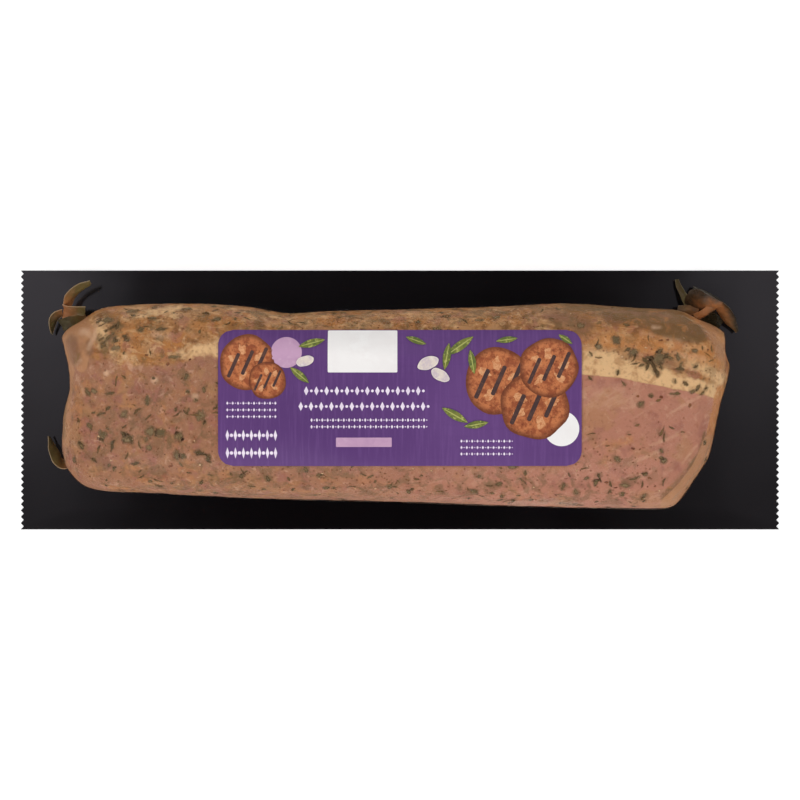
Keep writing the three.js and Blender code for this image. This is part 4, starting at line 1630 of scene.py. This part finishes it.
@dataclass(frozen=True)
class LabelFinish:
    """Semi-gloss printed paper with a fine upright weave in its purple field."""

    purple: Colour = tone(101, 66, 125)
    deep: Colour = tone(88, 55, 112)
    light: Colour = tone(112, 76, 136)

    def material(self) -> bpy.types.Material:
        """Makes the material.

        Returns:
            The node material.
        """
        r = Recipe("label_purple")
        across = r.noise(0.9, 1.0, 2, 0.5, r.stretched((1.0, 0.06, 0.06)))
        colour = r.blend(r.span(r.noise(60, 2.0, 1), 0.35, 0.65), self.deep, self.purple)
        colour = r.blend(r.span(across, 0.45, 0.7, 0, 0.45), colour, self.light)
        crossing = r.noise(0.9, 3.0, 2, 0.5, r.stretched((0.08, 0.7, 0.08)))
        colour = r.blend(r.span(crossing, 0.5, 0.75, 0, 0.2), colour, self.deep)
        return r.done(r.principled({"Base Color": colour, "Roughness": 0.42, "Specular IOR Level": 0.15,
                                    "Normal": r.bump(across, 0.02, 0.3)}))


@dataclass
class Label:
    """The paper label that lies over the crown, outside the film."""

    form: FilletForm
    finish: LabelFinish = LabelFinish()
    length: float = 136.0
    width: float = 51.0
    corner: float = 5.6
    middle_y: float = 0.8
    lift: float = 0.42
    thickness: float = 0.14
    columns: int = 136
    rows: int = 52
    edge_grading: float = 0.25

    def lay(self, flat: np.ndarray, lift: np.ndarray | float) -> np.ndarray:
        """Lays flat points of the label over the crown.

        Args:
            flat: Points on the label, from its middle, one a row.
            lift: How far above the film they lie.

        Returns:
            Their places in the frame.
        """
        x, y = flat[:, 0], flat[:, 1] + self.middle_y
        height = self.form.crown(x, y, self.form.share(x, y))
        return np.column_stack([x, y, height + lift])

    def build(self) -> bpy.types.Object:
        """Makes the label.

        Returns:
            The piece.
        """
        row = np.linspace(-1, 1, self.rows + 1)
        row = (1 - self.edge_grading) * row + self.edge_grading * np.sin(row * math.pi / 2)
        y = row * self.width / 2
        past = np.maximum(np.abs(y) - (self.width / 2 - self.corner), 0)
        inset = self.corner - np.sqrt(np.maximum(self.corner**2 - past**2, 0))
        x = np.linspace(-1, 1, self.columns + 1)[None] * (self.length / 2 - inset)[:, None]
        flat = np.column_stack([x.ravel(), np.repeat(y, self.columns + 1)])
        sheet = sheet_from_grid(self.lay(flat, self.lift).reshape(*x.shape, 3))
        bmesh.ops.solidify(sheet, geom=sheet.faces[:], thickness=self.thickness * MM)
        return as_piece("printed_label", sheet, "label", self.finish.material(), "label")


@dataclass(frozen=True)
class Ink:
    """A printed colour that wavers towards a second and a third."""

    name: str
    first: Colour
    second: Colour
    third: Colour
    size: float = 4.0
    rim: float = 0.0

    def material(self) -> bpy.types.Material:
        """Makes the material.

        Returns:
            The node material.
        """
        r = Recipe(self.name)
        broad = r.noise(self.size, 1.0, 4, 0.65, warp=0.4)
        colour = r.blend(r.span(broad, 0.42, 0.6), self.first, self.second)
        fine = r.noise(self.size * 0.4, 2.0, 4, 0.7)
        colour = r.blend(r.span(fine, 0.52, 0.66, 0, 0.7), colour, self.third)
        if self.rim:
            colour = r.blend(r.span(r.attribute("rim"), 0.78, 1.0, 0, self.rim), colour, self.third)
        grain = r.noise(0.6, 3.0, 2)
        return r.done(r.principled({"Base Color": colour, "Roughness": 0.4, "Specular IOR Level": 0.15,
                                    "Normal": r.bump(grain, 0.01, 0.3)}))


@dataclass
class Print:
    """One ink's shapes on the label: drawn flat from its middle, cut fine, and laid over the crown."""

    label: Label
    ink: Ink
    layer: int = 1
    cut: Point = (2.0, 0.85)
    thickness: float = 0.02
    step: float = 0.03
    rim_lumps: float = 1.4
    rib: float = 0.1
    leaf_tip: float = 0.04
    leaf_bluntness: float = 0.8
    lozenge_share: float = 0.9
    dot_share: float = 0.16

    def __post_init__(self) -> None:
        """Starts an empty sheet."""
        self.flat = bmesh.new()
        self.rim = self.flat.verts.layers.float.new("rim")

    def place(self, corners: list, x: float, y: float, turn: float) -> None:
        """Turns new corners about the middle and moves them to their place, on the present layer.

        Args:
            corners: The corners.
            x: Where their middle goes along the label.
            y: Where it goes across the label.
            turn: Their turn in degrees.
        """
        moved = Matrix.Translation((x, y, self.layer * self.step))
        turned = Matrix.Rotation(math.radians(turn), 4, "Z")
        bmesh.ops.transform(self.flat, matrix=moved @ turned, verts=corners)

    def disc(self, x: float, y: float, radius: float, uneven: float = 0.0, squash: float = 1.0,
             turn: float = 0.0, sides: int = 40) -> None:
        """Draws a filled round, its rim marked.

        Args:
            x: Its middle along the label.
            y: Its middle across the label.
            radius: Its radius.
            uneven: How far its rim strays, as a share of the radius.
            squash: Its height as a share of its width.
            turn: Its turn in degrees.
            sides: Its number of sides.
        """
        made = bmesh.ops.create_circle(self.flat, cap_ends=True, cap_tris=True, segments=sides, radius=radius)
        for corner in made["verts"]:
            if corner.co.length > radius * 0.5:
                corner[self.rim] = 1.0
                lump = noise.noise(corner.co / radius * self.rim_lumps + Vector((x, y, 0)))
                corner.co *= 1 + uneven * lump
                corner.co.y *= squash
        self.place(made["verts"], x, y, turn)

    def bar(self, x: float, y: float, length: float, height: float, corner: float, turn: float = 0.0) -> None:
        """Draws a filled bar with round corners.

        Args:
            x: Its middle along the label.
            y: Its middle across the label.
            length: Its length.
            height: Its height.
            corner: The radius of its corners.
            turn: Its turn in degrees.
        """
        made = bmesh.ops.create_grid(self.flat, x_segments=1, y_segments=1, size=0.5)["verts"]
        bmesh.ops.scale(self.flat, vec=(length, height, 1), verts=made)
        self.place(made, x, y, turn)
        bmesh.ops.bevel(self.flat, geom=made, offset=corner, offset_type="OFFSET", segments=4, profile=0.5,
                        affect="VERTICES", material=-1)

    def leaf(self, x: float, y: float, length: float, width: float, turn: float) -> None:
        """Draws a pointed leaf whose middle rib is marked.

        Args:
            x: Its middle along the label.
            y: Its middle across the label.
            length: Its length.
            width: Its width.
            turn: Its turn in degrees.
        """
        made = bmesh.ops.create_grid(self.flat, x_segments=10, y_segments=2, size=0.5)["verts"]
        for corner in made:
            corner[self.rim] = 1.0 if abs(corner.co.y) < self.rib else 0.0
            fullness = max(math.cos(corner.co.x * math.pi), self.leaf_tip) ** self.leaf_bluntness
            corner.co = Vector((corner.co.x * length, corner.co.y * width * fullness, 0))
        self.place(made, x, y, turn)

    def row(self, start: float, end: float, y: float, height: float, pitch: float) -> None:
        """Draws an even row of upright lozenges and small dots by turns.

        Args:
            start: Where the row starts.
            end: Where it ends.
            y: Its place across the label.
            height: The lozenges' height.
            pitch: The distance from one to the next.
        """
        for number in range(int((end - start) / pitch) + 1):
            big = number % 2 == 0
            sides, radius = (4, height / 2) if big else (8, height * self.dot_share)
            made = bmesh.ops.create_circle(self.flat, cap_ends=True, segments=sides, radius=radius)["verts"]
            if big:
                bmesh.ops.scale(self.flat, vec=(self.lozenge_share * pitch / height, 1, 1), verts=made)
            self.place(made, start + number * pitch, y, 0)

    def build(self) -> bpy.types.Object:
        """Cuts the flat shapes along a grid and lays them over the crown.

        Returns:
            The piece.
        """
        flat = self.flat
        for normal, half, cut in ((Vector((1, 0, 0)), self.label.length / 2, self.cut[0]),
                                  (Vector((0, 1, 0)), self.label.width / 2, self.cut[1])):
            for place in np.arange(-half, half, cut):
                everything = flat.verts[:] + flat.edges[:] + flat.faces[:]
                bmesh.ops.bisect_plane(flat, geom=everything, plane_co=normal * float(place), plane_no=normal)
        bmesh.ops.triangulate(flat, faces=flat.faces[:])
        flat.normal_update()
        bmesh.ops.reverse_faces(flat, faces=[face for face in flat.faces if face.normal.z < 0])
        drawn = np.array([corner.co for corner in flat.verts])
        places = self.label.lay(drawn[:, :2], self.label.lift + drawn[:, 2]) * MM
        for corner, place in zip(flat.verts, places):
            corner.co = place
        flat.normal_update()
        bmesh.ops.solidify(flat, geom=flat.faces[:], thickness=self.thickness * MM)
        return as_piece(self.ink.name, flat, "label", self.ink.material(), "label")


@dataclass
class LabelPrint:
    """The label's plain fields and simple ornaments.

    The crumbs and dark bars on a round of meat are sized as shares of its radius.
    """

    label: Label
    cream: Ink = Ink("print_cream", tone(244, 241, 239), tone(241, 237, 235), tone(247, 245, 243), 20)
    white: Ink = Ink("print_white", tone(238, 226, 240), tone(228, 212, 232), tone(244, 236, 246), 5)
    lilac: Ink = Ink("print_lilac", tone(198, 158, 188), tone(190, 150, 182), tone(206, 170, 196), 9)
    slice: Ink = Ink("print_slices", tone(194, 118, 74), tone(150, 80, 50), tone(100, 52, 34), 2.4, 0.85)
    crumb: Ink = Ink("print_crumb", tone(220, 160, 114), tone(196, 126, 82), tone(150, 84, 54), 1.6)
    char: Ink = Ink("print_bars", tone(70, 52, 52), tone(86, 62, 56), tone(104, 72, 58), 3)
    leaf: Ink = Ink("print_leaves", tone(120, 124, 58), tone(92, 104, 54), tone(190, 192, 110), 3, 0.9)
    pale: Ink = Ink("print_petals", tone(226, 212, 200), tone(206, 190, 196), tone(238, 230, 220), 3, 0.5)
    rounds: tuple[Place, ...] = (
        (37.0, 6.5, 12.6), (50.5, -3.0, 12.8), (55.8, 11.2, 11.0), (-57.0, 13.2, 10.4), (-49.5, 6.5, 7.0),
    )
    leaves: tuple[Row, ...] = (
        (22.5, 19.5, 12, 3.4, 35), (17.5, 15.5, 10, 3.0, 80), (27.0, 13.5, 9, 2.8, 100),
        (20.5, -6.5, 11, 3.2, -30), (28.5, -10.0, 9, 2.8, 10), (-37.5, 8.5, 9, 2.8, -40),
        (-33.0, 20.5, 10, 3.0, 15), (6.0, 21.5, 8, 2.4, -20), (40.0, 21.8, 8, 2.4, 8),
        (62.0, 22.0, 6, 2.2, -35),
    )
    petals: tuple[Row, ...] = ((10.5, 13.0, 4.2, 20), (15.0, 8.5, 3.8, -30), (-35.5, 13.8, 3.4, 15))
    cream_field: Row = (-14, 17.4, 26, 15.8, 0.4)
    cream_round: Place = (60.5, -11.5, 6.6)
    lilac_bar: Row = (-13.5, -16.6, 20.8, 3.5, 0.3)
    lilac_round: Place = (-42.5, 17.0, 5.8)
    crumbs: int = 5
    crumb_turn: float = 2.4
    crumb_out: float = 0.5
    crumb_size: float = 0.2
    bar_apart: float = 0.5
    bar_rise: float = 0.1
    bar_length: float = 0.95
    bar_width: float = 0.13
    bar_corner: float = 0.05
    bar_turn: float = 66.0
    rows: tuple[Row, ...] = (
        (-35.0, 10.5, 2.6, 3.4, 1.9), (-37.0, 11.0, -3.2, 3.4, 1.9), (-33, 10, -8.3, 1.5, 1.0),
        (-33, 10, -10.8, 1.5, 1.0), (-64.5, -46, -2.0, 1.3, 1.0), (-64.5, -46, -4.5, 1.3, 1.0),
        (-64.5, -46, -7.0, 1.3, 1.0), (-64.5, -46, -14.0, 4.2, 1.5), (-64.5, -46, -20.6, 4.2, 1.5),
        (23, 42, -16.2, 1.3, 1.0), (23, 42, -18.6, 1.3, 1.0), (23, 42, -21.0, 1.3, 1.0),
    )

    def slices(self) -> None:
        """Rounds of browned meat, one over another, with dark bars across them."""
        base, crumb, bars = (Print(self.label, ink) for ink in (self.slice, self.crumb, self.char))
        for number, (x, y, radius) in enumerate(self.rounds):
            base.layer, crumb.layer, bars.layer = (3 * (number % 3) + level for level in (1, 2, 3))
            base.disc(x, y, radius, uneven=0.09)
            out = radius * self.crumb_out
            for turn in range(self.crumbs):
                angle = turn * self.crumb_turn + x
                crumb.disc(x + out * math.cos(angle), y + out * math.sin(angle), radius * self.crumb_size,
                           uneven=0.5, squash=0.6, turn=math.degrees(angle))
            for side in (-1, 0, 1):
                bars.bar(x + side * radius * self.bar_apart, y + side * radius * self.bar_rise,
                         radius * self.bar_length, radius * self.bar_width, radius * self.bar_corner,
                         self.bar_turn)
        for ink in (base, crumb, bars):
            ink.build()

    def build(self) -> None:
        """Draws every ink."""
        self.slices()
        cream = Print(self.label, self.cream)
        cream.bar(*self.cream_field)
        cream.disc(*self.cream_round)
        cream.build()
        lilac = Print(self.label, self.lilac)
        lilac.bar(*self.lilac_bar)
        lilac.disc(*self.lilac_round)
        lilac.build()
        white = Print(self.label, self.white)
        for row in self.rows:
            white.row(*row)
        white.build()
        leaves = Print(self.label, self.leaf, layer=10)
        for leaf in self.leaves:
            leaves.leaf(*leaf)
        leaves.build()
        petals = Print(self.label, self.pale, layer=11)
        for x, y, radius, turn in self.petals:
            petals.disc(x, y, radius, uneven=0.1, squash=0.55, turn=turn)
        petals.build()


@dataclass
class Studio:
    """A pale floor, soft light from all round with a dark card overhead, and the camera.

    The card's places are slopes: how far a ray goes sideways while it rises by one.
    """

    camera_height: float = 870.0
    frame_width: float = 312.4
    sensor: float = 36.0
    floor_size: float = 4000.0
    floor_white: Colour = (0.93, 0.93, 0.93, 1.0)
    floor_glow: float = 0.32
    sky: float = 1.3
    horizon: float = 0.12
    horizon_band: Point = (0.1, 0.95)
    lowest_sky: float = 0.02
    card_edge: Point = (0.12, 0.142)
    card_shade: float = 0.05
    card_ahead: Step = (-0.07, 0.07, 0.24, 0.88)
    card_aside: Step = (-0.12, 0.12, 1.0, 0.78)
    card_end: Point = (0.2, 0.45)
    card_side: Point = (0.22, 0.5)
    key_place: Place = (-0.4, -1.1, 1.1)
    key_size: float = 1.1
    key_power: float = 6.5

    def build(self) -> None:
        """Sets the floor, the lights and the camera."""
        self.floor()
        self.light()
        self.lamp("key", self.key_place, self.key_size, self.key_power)
        self.camera()

    def floor(self) -> None:
        """The pale floor that the pack lies on."""
        plane = bmesh.new()
        bmesh.ops.create_grid(plane, x_segments=1, y_segments=1, size=self.floor_size * MM / 2)
        data = bpy.data.meshes.new("floor")
        plane.to_mesh(data)
        plane.free()
        r = Recipe("floor")
        data.materials.append(r.done(r.principled({
            "Base Color": self.floor_white, "Roughness": 0.9, "Specular IOR Level": 0.1,
            "Emission Color": self.floor_white, "Emission Strength": self.floor_glow})))
        piece = bpy.data.objects.new("floor", data)
        bpy.context.scene.collection.objects.link(piece)

    def light(self) -> None:
        """Soft light from everywhere, dimmer at the horizon and behind the card round the camera."""
        world = bpy.data.worlds.new("studio")
        bpy.context.scene.world = world
        world.use_nodes = True
        sky = Nodes(world.node_tree)
        seen = sky.node("ShaderNodeTexCoord").outputs["Generated"]
        x, y, z = sky.node("ShaderNodeSeparateXYZ", {0: seen}).outputs
        up = sky.sums("MAXIMUM", z, self.lowest_sky)
        ahead, aside = sky.sums("DIVIDE", y, up), sky.sums("DIVIDE", x, up)
        side, far = sky.sums("ABSOLUTE", aside), sky.sums("ABSOLUTE", ahead)
        near = sky.span(side, *self.card_edge, self.card_shade, 1.0)
        near = sky.sums("MULTIPLY", near, sky.span(ahead, *self.card_ahead))
        near = sky.sums("MULTIPLY", near, sky.span(aside, *self.card_aside))
        beyond = sky.sums("MAXIMUM", sky.span(far, *self.card_end), sky.span(side, *self.card_side))
        over = sky.node("ShaderNodeMix", {0: beyond, 2: near, 3: 1.0}, data_type="FLOAT").outputs[0]
        height = sky.span(z, *self.horizon_band, self.horizon, 1.0)
        power = sky.sums("MULTIPLY", sky.sums("MULTIPLY", over, height), self.sky)
        shine = sky.node("ShaderNodeBackground", {"Color": (1.0, 1.0, 1.0, 1.0), "Strength": power})
        sky.node("ShaderNodeOutputWorld", {0: shine.outputs[0]})

    def lamp(self, name: str, place: Place, size: float, power: float) -> None:
        """A square soft lamp that faces the pack.

        Args:
            name: Its name.
            place: Where it hangs, in metres.
            size: Its side, in metres.
            power: Its power in watts.
        """
        data = bpy.data.lights.new(name, "AREA")
        data.size = size
        data.energy = power
        lamp = bpy.data.objects.new(name, data)
        lamp.location = place
        lamp.rotation_euler = (-Vector(place)).to_track_quat("-Z", "Y").to_euler()
        bpy.context.scene.collection.objects.link(lamp)

    def camera(self) -> None:
        """The camera straight above the pack."""
        data = bpy.data.cameras.new("camera")
        data.sensor_width = self.sensor
        data.lens = self.sensor * self.camera_height / self.frame_width
        camera = bpy.data.objects.new("camera", data)
        camera.location = (0.0, 0.0, self.camera_height * MM)
        bpy.context.scene.collection.objects.link(camera)
        bpy.context.scene.camera = camera
        bpy.context.scene.view_settings.view_transform = "Standard"


def main() -> None:
    """Builds every piece in order."""
    logging.basicConfig(level=logging.INFO, format="%(name)s %(message)s")
    form = FilletForm()
    zones = MeatZones()
    BackingSheet().build()
    loin = PorkLoin(form, zones)
    meat = loin.build()
    loin.dress(meat, Rub(zones, meat).build())
    ClearFilm(form).build()
    CornerFolds().build()
    label = Label(form)
    label.build()
    LabelPrint(label).build()
    Studio().build()


if __name__ == "__main__":
    main()
